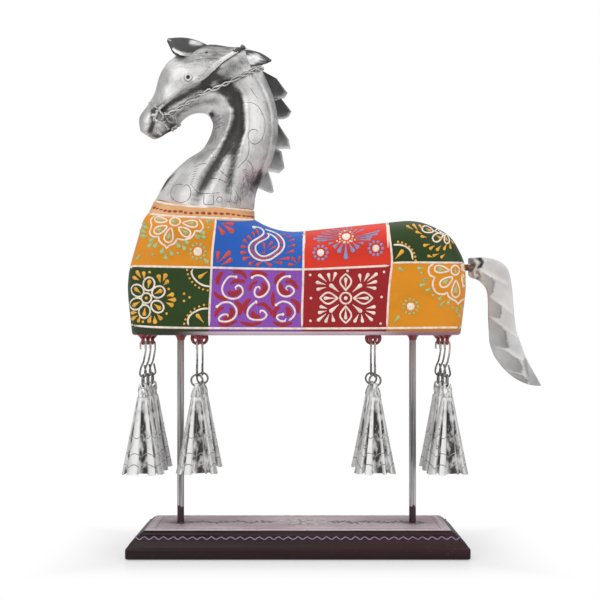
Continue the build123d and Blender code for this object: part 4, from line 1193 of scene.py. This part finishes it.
coats = {}
for route in ([(230.6, 109), (235, 105), (240, 103), (247, 102.2), (255, 104), (260.6, 110), (264.7, 120.5),
               (264.7, 130), (262, 139), (257, 143.6), (252.5, 143.6), (248.5, 139), (248.5, 133),
               (251.4, 129.7), (256, 129.7), (258.3, 132)],
              [(248.5, 141), (249, 149), (247, 157.5), (241, 164.4), (237.5, 168.5)],
              [(247, 160), (251.4, 164.4), (253, 170), (251, 176)],
              [(183.5, 186.4), (186.5, 184.6), (189.8, 187.6), (190.9, 193.3), (189.4, 198), (185.6, 201.4),
               (180.6, 202.4), (175.6, 201), (171.8, 197.6), (170.6, 193), (171.8, 188.6), (175.2, 185.2),
               (180, 184.2), (183, 184.8)],
              [(191.3, 185), (195, 189.5), (199.4, 193.3), (208, 193.5), (220, 192.7)],
              [(204, 194.6), (203.8, 199), (203.8, 204), (208, 204.4), (213.2, 204.4),
               (213.4, 199), (213.6, 194.6)],
              [(218.6, 202.6), (216.4, 200), (217.6, 197.4), (220.6, 197), (222.4, 199.4),
               (221, 202.2), (218.6, 202.6)],
              [(226, 202), (231, 201.6), (236, 203.5)],
              [(210.9, 151.7), (217.9, 159.8), (222.5, 164.4)],
              [(215.5, 165.6), (224.8, 174.8), (231.7, 179.4)],
              [(209.8, 178.3), (217, 178.8), (222.5, 180.6), (226, 183)],
              [(235.2, 189.8), (238, 196), (241, 201.4)],
              [(215, 118.5), (220, 114)],
              [(216, 121.5), (222, 118)],
              [(215, 125.5), (223, 122)],
              [(214.5, 129), (221, 126)],
              [(198, 165), (203, 163.6), (208, 164)],
              [(246, 178), (248.5, 184), (247, 190)],
              [(243, 176), (243.6, 182)],
              [(250, 88), (255, 95), (258, 99)],
              [(196, 60), (210, 58), (222, 60)]):
    scribed(route, 0.42, 0.16)
scribe = random.Random(12)
for _ in range(26):
    px, py, turn = scribe.uniform(229, 252), scribe.uniform(181, 203), scribe.uniform(-0.5, 0.5)
    scribed([(px, py), (px + 3.4 * turn, py + 3.2), (px + 5 * turn, py + 6.0)], 0.26, 0.12)
scribed([(240.8, 51.6), (226, 61.2), (213.6, 70.8), (207, 76.8), (200.6, 82.2)], 0.6, 0.2)
for k in range(8):
    scribed([(199.5 - 0.9 * k, 165.5 + 2.5 * k), (193.5 - 0.5 * k, 167.5 + 2.5 * k)], 0.38, 0.14)
    scribed([(242.2 + 0.5 * k, 170.2 + 1.5 * k), (247.4 + 0.4 * k, 168.8 + 1.5 * k)], 0.34, 0.14)
engraved_dark = finish_named("dark scribed line", engraved)
add_piece("scribed_lines", *coats["engraved"], engraved_dark, "sheet")


# Neck plug: a block of bare wood carved to the inside of the neck. It stands on the collar, the two
# head shells are pushed over it, and it is hidden while they are on.
def bare_wood(t):
    grain = t.noise(90, (6, 6, 0.6), 4)
    pores = t.noise(1500, (1, 1, 0.1), 3)
    return {"Base Color": t.mix((0.50, 0.33, 0.19), (0.34, 0.20, 0.10), grain.step(0.35, 0.7)),
            "Roughness": 0.62 + 0.2 * pores, "Height": (0.3, 0.0004, grain + 0.4 * pores)}


plug_gap, plug_foot, plug_head = 1.5, 250.5, 266
plug_rings = []
for ring in near_rings:
    if plug_foot < ring[20][2] < plug_head:
        row = [(x * 0.985 - 1.0, y + plug_gap if y < -plug_gap else 0.0, z) for x, y, z in ring[3:-3]]
        plug_rings.append(row + [(x, -y, z) for x, y, z in row[::-1]])
plug = add_piece("neck_plug_wood", *skin(plug_rings), finish_named("bare carved wood", bare_wood), "wood")
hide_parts("neck_plug")


# Mane, forelock and ears: leaves cut from the same sheet, with painted shade and painted highlights,
# the highlights along the mane's and forelock's rims. The mane's five teeth stand in the back seam; the
# forelock and ears are cupped on the poll.
def leaf_sheet(t):
    cloud, fine, dents = t.noise(150, detail=4), t.noise(1300, detail=3), t.noise(230, detail=1)
    dark = t.make("ShaderNodeAttribute", {"attribute_name": "dark"}, out=2)
    sheet = t.mix((0.40, 0.40, 0.405), (0.72, 0.715, 0.71), cloud.step(0.3, 0.65))
    # the dark attribute is painted shade, and painted highlight below zero
    leaf_shade = (dark + 0.5 * (cloud - 0.5)).step(0.0, 0.9) * 0.96
    return {"Base Color": t.mix(sheet, (0.045, 0.043, 0.043), leaf_shade), "Metallic": 0.84,
            "Roughness": 0.32 + 0.2 * cloud, "Height": (0.45, 0.0007, dents + 0.3 * cloud + 0.1 * fine)}


leaf_metal = finish_named("leaf sheet with painted shade", leaf_sheet)
head_front, head_foot, head_length, head_height = -117.0, 248.2, 102.4, 121.0
mane_teeth = [([(0.80, 0.84), (0.885, 0.841), (0.990, 0.793), (1.038, 0.738), (1.068, 0.706), (1.047, 0.678),
                (0.985, 0.660), (0.90, 0.66)], 1.35),
              ([(0.93, 0.672), (1.022, 0.672), (1.096, 0.593), (1.077, 0.564),
                (1.042, 0.548), (0.93, 0.545)], 1.30),
              ([(0.94, 0.53), (0.999, 0.523), (1.077, 0.423), (1.090, 0.369), (0.93, 0.363)], 1.0),
              ([(0.92, 0.372), (0.985, 0.370), (1.025, 0.352), (1.047, 0.253),
                (1.007, 0.220), (0.87, 0.24)], 0.80),
              ([(0.86, 0.226), (0.928, 0.234), (0.956, 0.170), (0.970, 0.107),
                (0.948, 0.098), (0.80, 0.15)], 0.60)]
for number, (shares, depth) in enumerate(mane_teeth, start=1):
    rim = [(head_front + head_length * across, head_foot + head_height * up) for across, up in shares]
    centre = (sum(p[0] for p in rim) / len(rim), sum(p[1] for p in rim) / len(rim))
    edge = []
    for (ax, az), (bx, bz) in zip(rim, rim[1:] + rim[:1]):
        edge += [(ax + (bx - ax) * k / 6, az + (bz - az) * k / 6) for k in range(6)]
    shades, rings = [], []
    lowest, highest = min(p[1] for p in rim), max(p[1] for p in rim)
    half_profile = [(0.12, 0.35), (0.4, 0.38), (0.7, 0.42), (0.93, 0.62), (1.0, 0.66)]
    for share, thick in half_profile + [(share, -thick) for share, thick in half_profile[::-1]]:
        ring = []
        for ex, ez in edge:
            x, z = centre[0] + (ex - centre[0]) * share, centre[1] + (ez - centre[1]) * share
            ring.append((x, -thick, z))
            # each tooth gets painted shade, set per tooth and deepening toward its top, and a painted highlight
            # at the rim
            rim_highlight = 0.33 if share > 0.9 else 0.0
            shades.append(depth * (0.45 + 0.55 * (z - lowest) / (highest - lowest)) - rim_highlight)
        rings.append(ring)
    sheet_piece(f"mane_tooth_{number}", *skin(rings), shades, f"mane_{number}", leaf_metal, 35)


def cupped_leaf(name, root, tip, facing, half, drop, thick, darkness, node, widths, bow=0.0):
    """A leaf of sheet cupped along its middle, with uneven edges."""
    along = (tip - root).normalized()
    across = Vector(facing).cross(along).normalized()
    up = along.cross(across)
    rings, shades = [], []
    for n in range(25):
        t = n / 24
        spot = t * (len(widths) - 1)
        low = min(int(spot), len(widths) - 2)
        wide = widths[low] + (widths[low + 1] - widths[low]) * (spot - low)
        crease = root + (tip - root) * t + up * (bow * math.sin(math.pi * t))
        ring = []
        for side, lift in ((1, 0.0), (-1, -thick)):
            for k in range(13):
                out = side * (k / 6 - 1)
                fall = drop * wide * abs(out) ** 1.25
                ripple = 0.22 * math.sin(9 * t + 3 * out) * abs(out)
                ring.append(tuple(crease + across * (half * wide * out) + up * (lift - fall + ripple)))
                shades.append(darkness(t, out))
        rings.append(ring)
    return sheet_piece(name, *skin(rings), shades, node, leaf_metal, 40)


def forelock_darkness(t, out):
    """Painted shade, but for a painted highlight each side of the middle, a highlight streak and highlights on
    the rims.
    """
    patch = max(0.0, 1 - (abs(t - 0.27) / 0.20) ** 3) * max(0.0, 1 - (abs(abs(out) - 0.28) / 0.24) ** 3)
    streak = 0.75 if abs(abs(out) - 0.36 - 0.12 * t) < 0.035 and t > 0.3 else 0.0
    rim_highlight = 0.9 if abs(out) > 0.95 and 0.3 < t < 0.8 else 0.0
    return 0.92 - 0.95 * patch - streak - rim_highlight


def ear_darkness(t, out):
    """Painted shade round the edge, with a mottled painted highlight in the hollow."""
    if abs(out) > 0.84 or t > 0.88 or t < 0.06:
        return 1.0
    hollow = math.sin(math.pi * min(1, 1.15 * t)) ** 0.7 * (1 - abs(out + 0.15)) ** 0.8
    return 1.0 - 1.22 * hollow + 0.42 * math.sin(15 * t + 6 * out) * math.cos(7 * out + 4 * t)


cupped_leaf("forelock_leaf", Vector((-66.9, 0, 369.2)), Vector((-95.6, 0, 373.7)), (0, 0, 1), 9.3, 14.6, 1.1,
            forelock_darkness, "forelock", (0.34, 0.60, 0.86, 1.0, 0.98, 0.82, 0.56, 0.08), 2.55)
for side, name, tip in ((-1, "near", (-19.3, -12.4, 354.9)), (1, "far", (-24.5, 12.0, 359.0))):
    cupped_leaf(f"{name}_ear_leaf", Vector((-42.0, side * 7.2, 359.6)), Vector(tip), (0, side, 0.30), 6.6, 1.9,
                0.9, ear_darkness, f"{name}_ear", (0.80, 0.98, 1.0, 0.92, 0.80, 0.62, 0.38, 0.06))


# Bridle: a folded strap from the poll to the nose on each side, a rein of two wires twisted together,
# strips crumpled round the muzzle, a domed washer for each eye and a small nail behind it.
flat = [(-1.0, -0.5), (-1.0, 0.85), (-0.8, 1.0), (0.0, 1.12), (0.8, 1.0), (1.0, 0.85), (1.0, -0.5)]
bent = random.Random(9)


def strip_rings(hits, widths, rise, crumple=0.0):
    """Rings of a strip laid on a surface; crumple is how far it is bent about, in millimetres."""
    rings, waves = [], [(bent.uniform(1.1, 1.9), bent.uniform(0, 6)) for _ in range(3)]
    for i, (place, heading) in enumerate(hits):
        before, after = hits[max(i - 1, 0)][0], hits[min(i + 1, len(hits) - 1)][0]
        across = (after - before).normalized().cross(heading).normalized()
        jog, lift, lean = (crumple * math.sin(rate * i + start) for rate, start in waves)
        rings.append([place + across * (widths[i] / 2 * out + jog)
                      + heading * (rise * up + (lift + lean * out if up > 0 else 0)) for out, up in flat])
    return rings


def mirrored(rings, side):
    """The skin of a piece of the near side, for the near side or turned over for the far side."""
    points, faces = skin([[(p[0], -side * p[1], p[2]) for p in ring] for ring in rings], True, True)
    return points, faces if side < 0 else [face[::-1] for face in faces]


def head_hits(route, step=2.0):
    return hits_along(head_skin, route, step)


upper = head_hits([(236.4, 52.2), (226.6, 58.0), (217.6, 64.2), (212, 69.0)])
lower = head_hits([(212.6, 68.4), (207, 74.0), (200, 79.2), (189, 85.0), (177, 93.4),
                   (168, 100.8), (161.4, 107.4)])
knot = head_hits([(234.6, 53.0), (239, 50.2), (243.4, 47.8)], 1.2)
# each part of the strap gets one level of painted shade
strap = [(strip_rings(upper, [3.7] * len(upper), 1.2), 0.12),
         (strip_rings(lower, [3.4 - 2.0 * i / len(lower) for i in range(len(lower))], 1.2), 0.30),
         (strip_rings(knot, [3.0 + 1.4 * (i % 2) for i in range(len(knot))], 1.6, 0.4), 0.75)]
route = head_hits([(261.0, 69.2), (255.6, 70.4), (248.6, 73.2), (237.9, 77.9), (227, 82.4), (216, 87.4),
                   (206.4, 91.9), (195, 97.3), (181, 106.0), (170, 112.4), (164.5, 115.6)], 1.1)
gone, spins = 0.0, []
for i, (place, heading) in enumerate(route):
    gone += (place - route[i - 1][0]).length if i else 0.0
    along = (route[min(i + 1, len(route) - 1)][0] - route[max(i - 1, 0)][0]).normalized()
    spins.append((place, heading, along.cross(heading).normalized(), gone))
twist_length, twists = 15.0, []
for start in (0.0, math.pi):
    wire = []
    for place, heading, across, run in spins:
        turn = 2 * math.pi * run / twist_length + start
        wire.append(place + heading * (1.45 + 0.8 * math.cos(turn)) + across * (1.05 * math.sin(turn)))
    twists.append(wire)
muzzle_middle, muzzle_down = Vector((-101.2, 0, 316.3)), Vector((15.6, 0, -21.5)).normalized()
muzzle_back = muzzle_down.cross(-axis_y).normalized()


def band_rings(step, start, stop, wide, rise, crumple):
    """Rings of a strip bent round one side of the muzzle."""
    middle = muzzle_middle + muzzle_back * step
    hits = []
    for n in range(21):
        a = math.radians(start + (stop - start) * n / 20)
        way = -axis_y * math.sin(a) - muzzle_down * math.cos(a)
        hits.append(struck(head_skin, middle + way * 40, -way))
    hits = [hit for hit in hits if hit]
    return strip_rings(hits, [wide] * len(hits), rise, crumple)


def stud(place, heading, profile, sides=22):
    """A turned stud standing on a surface: its profile gives radius, height and painted shade, highlight below
    zero.
    """
    out = axis_z.cross(heading).normalized()
    up = heading.cross(out)
    rings = [[place + heading * high + (out * math.cos(a) + up * math.sin(a)) * wide for a in turns_of(sides)]
             for wide, high, _ in profile]
    return rings, [shade for _, _, shade in profile for _ in range(sides)]


def laid_strip(route, width, rise, crumple):
    hits = head_hits(route, 1.0)
    return strip_rings(hits, [width * (0.55 if i in (0, len(hits) - 1) else 1.0)
                              for i in range(len(hits))], rise, crumple)


noseband = [laid_strip(*strip) for strip in (([(147.4, 101.8), (149.4, 102.9), (153.5, 105.6),
                                               (158.2, 108.8)], 0.75, 0.8, 0.0),
                                             ([(164.2, 103.8), (160.6, 107.8), (157.2, 112.8),
                                               (154.6, 117.6)], 2.3, 1.7, 0.18),
                                             ([(153.4, 114.6), (154.4, 118.6), (157.4, 122.4)], 2.6, 1.6, 0.30),
                                             ([(157.6, 111), (161.6, 112.6), (163.4, 116.6),
                                               (160.4, 120)], 1.5, 1.5, 0.25),
                                             ([(158, 120.5), (161.5, 122), (165, 120.8)], 1.3, 1.3,
                                              0.25))] + [band_rings(0.6, 120, 165, 2.0, 0.9, 0.2)]
chin = [laid_strip(*strip) for strip in (([(165, 113), (169.4, 114), (173, 117.4), (176.6, 121.4),
                                           (179.4, 124.4)], 1.9, 1.5, 0.28),
                                         ([(171, 129.6), (174, 126.8), (178.6, 124.4)], 1.7, 1.3, 0.22),
                                         ([(166, 117), (168.6, 121), (172.8, 122.6)], 1.0, 1.1, 0.2),
                                         ([(170.4, 112.6), (173.6, 114.6), (175.4, 118.4)], 0.9, 1.2, 0.2))]
chin.append(band_rings(7.2, 128, 168, 2.4, 0.9, 0.2))
stud_rings, stud_shades = stud(*seen(head_skin, 188.1, 77.4), [(3.0, -1.2, 1.1), (3.1, 0.15, 1.1),
        (2.75, 0.62, 0.3), (2.2, 0.98, -0.3), (1.6, 1.02, 0.0), (1.25, 0.75, 1.0),
        (1.05, 0.1, 1.3), (0.1, 0.05, 1.3)])
nail_rings, nail_shades = stud(*seen(head_skin, 206.4, 52.5), [(1.05, -0.6, 1.0), (1.05, 0.3, 1.0),
        (0.7, 0.6, 0.8), (0.1, 0.7, 0.8)])
for side, name in ((-1, "near"), (1, "far")):
    skins = [mirrored(rings, side) for rings, _ in strap]
    shades = [dark for (rings, dark), (points, _) in zip(strap, skins) for _ in points]
    sheet_piece(f"{name}_cheek_strip", *joined(skins), shades, f"{name}_cheek_strap")
    points, faces = joined([tube([Vector((p.x, -side * p.y, p.z)) for p in wire], 0.68) for wire in twists])
    # painted highlights on part of each turn of the twisted wires, painted shade on the rest
    shades = [-0.3 if n % 8 in (1, 2, 3) else 0.95 for n in range(len(points))]
    sheet_piece(f"{name}_rein_wires", points, faces, shades, f"{name}_rein")
for name, parts, node in (("nose_strips", noseband, "noseband"), ("chin_strips", chin, "chin_strap")):
    points, faces = joined([mirrored(rings, side) for rings in parts for side in (-1, 1)])
    # the crumpled strips get patches of painted shade and light
    shades = [0.25 + 0.5 * math.sin(0.9 * (n // len(flat))) * math.sin(1.7 * n) for n in range(len(points))]
    sheet_piece(name, points, faces, shades, node)
for name, rings, shades, node in (("eye_domes", stud_rings, stud_shades, "eye_studs"),
                                  ("nail_heads", nail_rings, nail_shades, "ear_nails")):
    points, faces = joined([mirrored(rings, side) for side in (-1, 1)])
    sheet_piece(name, points, faces, shades * 2, node)


# Tail: a plume of sheet metal, folded over itself down its length and duller than the head. It is
# crumpled tight round the end of a rusty peg, which is driven into the rump.
tail_cuts = [(468.5, 275.0, 468.4, 258.2), (471.5, 277.9, 474, 257.6), (478.5, 280.5, 484, 257.4),
             (485, 287, 497, 260.2), (487.2, 293, 504.4, 264.8), (487.9, 300, 509, 272.2),
             (488.1, 310, 511.8, 287), (488.3, 320, 513.6, 305.5), (488.9, 331, 515, 322),
             (489.6, 342.4, 517, 334), (492, 350, 519.1, 338.7), (495.1, 357.2, 524.7, 354.4),
             (504.4, 369.2, 532.1, 369.2), (515.4, 378.5, 536.5, 377.0), (528.4, 384.5, 540.4, 383.6),
             (539.2, 386.0, 541.0, 385.8)]
creases = [[(480.8, 270.8), (494.7, 279), (508.5, 285.6)],
           [(489.5, 296.7), (500, 304.3), (512, 314.4)],
           [(488.8, 315.8), (504.8, 329.2), (516.6, 337.2)],
           [(490.8, 345), (504.8, 349.8), (522, 360.8)],
           [(503, 369), (511, 371.4), (522, 374.7), (529, 380)]]
# the facets under each crease, with how much painted shade each gets; it deepens toward the rear of each facet
facets = [([(481, 271.5), (488, 275.5), (494.4, 279.6), (494.6, 286), (493, 292), (489.6, 297),
            (487, 292), (484, 283)], 0.40),
          ([(489, 297), (495, 301.2), (501.3, 305.6), (501.5, 311), (500.6, 318),
            (494, 318), (488, 315.6)], 0.40),
          ([(488, 316), (497, 323), (505, 329.6), (506.4, 338), (509, 348), (504, 348.6), (491, 345)], 0.33),
          ([(491, 345.4), (504.8, 350.2), (518, 359), (523, 366), (522, 374), (508, 370),
            (503, 368), (494, 357)], 0.22),
          ([(522.4, 361), (525, 358), (532, 369), (541, 386), (530, 385), (527, 374)], 0.36),
          ([(504, 370), (522, 375), (528, 381), (527, 385), (514, 378.5)], 0.26)]
# crumples at the root, with how wide, how far in or out, and how much painted shade (highlight below zero) each
# lays on
crumples = [([(470, 262), (474, 266), (470, 271)], 2.2, -1.5, 0.75),
            ([(474, 259), (477, 265), (473.5, 271), (475, 277)], 1.5, 1.6, -0.3),
            ([(480, 259.5), (482.4, 263), (479.6, 267)], 1.7, -1.7, 1.1),
            ([(477, 272), (480, 276), (477, 279)], 1.6, -1.0, 0.5),
            ([(484, 258.5), (484.6, 262), (483, 266)], 1.1, 1.2, -0.3),
            ([(469, 258.5), (474, 259), (480, 258.6)], 1.6, -0.4, 0.7),
            ([(480, 269), (479, 272), (481, 275)], 1.3, 1.0, -0.2),
            ([(472, 276), (477, 277.6), (482, 281)], 1.3, -0.4, 0.4),
            ([(525.2, 359), (526, 368), (527.6, 380)], 1.6, -0.4, 0.30),
            ([(494.6, 281), (494.8, 287), (493, 292)], 1.2, 0.0, 0.14),
            ([(501.4, 307), (501.4, 312), (500.4, 317)], 1.2, 0.0, 0.14),
            ([(505.4, 331), (506.6, 339), (509, 347)], 1.3, 0.0, 0.16)]


def within(outline, px, py):
    """Whether a point of the side view lies inside an outline."""
    hit = False
    for (ax, ay), (bx, by) in zip(outline, outline[1:] + outline[:1]):
        if (ay > py) != (by > py) and px < ax + (py - ay) * (bx - ax) / (by - ay):
            hit = not hit
    return hit


def folded_sheet(t):
    dark = t.make("ShaderNodeAttribute", {"attribute_name": "dark"}, out=2)
    cloud, fine = t.noise(70, detail=4), t.noise(1200, detail=3)
    sheet = t.mix((0.56, 0.545, 0.535), (0.70, 0.685, 0.675), cloud.step(0.3, 0.65))
    # the dark attribute is painted shade on the facets and crumples
    return {"Base Color": t.mix(sheet, (0.045, 0.042, 0.04), (dark + 0.10 * (fine - 0.5)).clip()),
            "Metallic": 0.42, "Roughness": 0.40 + 0.12 * cloud, "Height": (0.3, 0.0004, cloud + 0.15 * fine)}


tail_scale, tail_fattest = 0.7333, 4.35
tail_front, tail_darks = [], []
for low_x, low_y, high_x, high_y in smooth_run(tail_cuts, 1.5, size=4):
    ring = []
    for n in range(31):
        share = (1 - math.cos(math.pi * n / 30)) / 2
        px, py = low_x + (high_x - low_x) * share, low_y + (high_y - low_y) * share
        off, dark = fold_sum(crumples, px, py)
        for route in creases:
            off += 1.1 * math.exp(-route_distance(route, px, py) ** 0.5 / 1.6)
        dark += sum(shade * (0.45 + 0.85 * (px - min(p[0] for p in outline)) / 14)
                    for outline, shade in facets if within(outline, px, py))
        out = min(tail_fattest, max(0.3, 0.4 + (1.5 + off) * math.sin(math.pi * share) ** 0.45))
        size = tail_scale * (1 + out / sight.y)
        ring.append((sight.x + (px - view_x) * size, -out, sight.z + (view_y - py) * size))
        tail_darks.append(dark)
    tail_front.append(ring)
tail_rings, tail_shades, count = [], [], len(tail_front[0])
for i, ring in enumerate(tail_front):
    shade = tail_darks[i * count:(i + 1) * count]
    tail_rings.append(ring + [(x, min(4.3, 0.3 - 0.8 * y), z) for x, y, z in ring[::-1]])
    tail_shades += shade + shade[::-1]
sheet_piece("tail_plume", *skin(tail_rings), tail_shades, "tail",
            finish_named("folded dull sheet", folded_sheet), 28)


def rusty(t):
    cloud, fine = t.noise(300, detail=4), t.noise(1500, detail=3)
    return {"Base Color": t.mix((0.10, 0.05, 0.03), (0.24, 0.16, 0.11), cloud.step(0.35, 0.65)),
            "Metallic": 0.35, "Roughness": 0.5 + 0.2 * fine, "Height": (0.4, 0.0004, cloud + 0.5 * fine)}


rusty_peg, peg_height = finish_named("rusty peg", rusty), 205.6
peg_rings = [[(x, wide * math.cos(a), peg_height + wide * math.sin(a)) for a in turns_of(20)]
             for x, wide in ((103.1, 1.6), (105.0, 2.3), (124.0, 2.35), (131.6, 2.3), (132.9, 1.5))]
peg = add_piece("tail_peg_rod", *skin(peg_rings), rusty_peg, "rod_steel")
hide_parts("tail_peg")


# The stage: a pale floor that takes the shadow, soft lamps above and to the sides, and the camera
# straight on at the height of the horse's legs.
floor_mesh = bpy.data.meshes.new("floor")
floor_mesh.from_pydata([(-30, -30, 0), (30, -30, 0), (30, 30, 0), (-30, 30, 0)], [], [(0, 1, 2, 3)])
floor = bpy.data.objects.new("floor", floor_mesh)
bpy.context.scene.collection.objects.link(floor)
floor.location.z = -0.0006


def looked_at(t):
    """1 where the camera looks straight at a surface, or through glass, and 0 where its light is reflected."""
    path = t.make("ShaderNodeLightPath").socket.node.outputs
    return t.sum("MAXIMUM", *(Tone(t.tree, path[kind]) for kind in ("Is Camera Ray", "Is Transmission Ray")))


def pale_floor(name):
    made = bpy.data.materials.new(name)
    made.use_nodes = True
    tree = made.node_tree
    tree.nodes.clear()
    t = Tone(tree)
    plain = t.make("ShaderNodeBsdfPrincipled", inputs={"Base Color": (0.90, 0.90, 0.90), "Roughness": 0.30})
    white = t.make("ShaderNodeEmission", inputs={"Color": (1.0, 1.0, 1.0), "Strength": 1.0})
    x, y, _ = t.axes()
    off_x, off_y = t.sum("ABSOLUTE", x) - 0.118, t.sum("ABSOLUTE", y) - 0.047
    away = t.sum("MAXIMUM", t.sum("MAXIMUM", off_x, off_y), 0.0)
    share = looked_at(t) * (0.45 + 0.55 * away.step(0.0, 0.07))
    both = t.make("ShaderNodeMixShader", inputs={0: share, 1: plain, 2: white})
    t.make("ShaderNodeOutputMaterial", inputs={"Surface": both})
    return made


floor_mesh.materials.append(pale_floor("pale floor"))

world = bpy.data.worlds.new("studio")
bpy.context.scene.world = world
world.use_nodes = True
world.node_tree.nodes.clear()
air = Tone(world.node_tree)
glow = air.make("ShaderNodeBackground", inputs={"Color": (1.0, 1.0, 1.0),
                                                "Strength": 0.45 + 0.55 * looked_at(air)})
air.make("ShaderNodeOutputWorld", inputs={"Surface": glow})


def soft_lamp(name, place, aim, size, power):
    light = bpy.data.lights.new(name, "AREA")
    light.shape, light.size, light.size_y, light.energy = "RECTANGLE", size[0], size[1], power
    lamp = bpy.data.objects.new(name, light)
    bpy.context.scene.collection.objects.link(lamp)
    lamp.location = place
    lamp.rotation_euler = (Vector(aim) - Vector(place)).to_track_quat("-Z", "Y").to_euler()


soft_lamp("key_lamp", (-0.9, -1.1, 1.3), (0, 0, 0.2), (1.9, 1.9), 16)
soft_lamp("fill_lamp", (1.2, -0.9, 0.9), (0, 0, 0.2), (1.8, 1.6), 8)
soft_lamp("top_lamp", (0.0, 0.3, 1.6), (0, 0, 0.1), (2.4, 1.8), 12)

eye = bpy.data.cameras.new("camera")
eye.lens, eye.sensor_width, eye.shift_y = 72.0, 36.0, 40.0 / 600.0
camera = bpy.data.objects.new("camera", eye)
bpy.context.scene.collection.objects.link(camera)
camera.location = (0.0015, -0.880, 0.1525)
camera.rotation_euler = (math.radians(90), 0, 0)
bpy.context.scene.camera = camera
bpy.context.scene.view_settings.view_transform = "Standard"
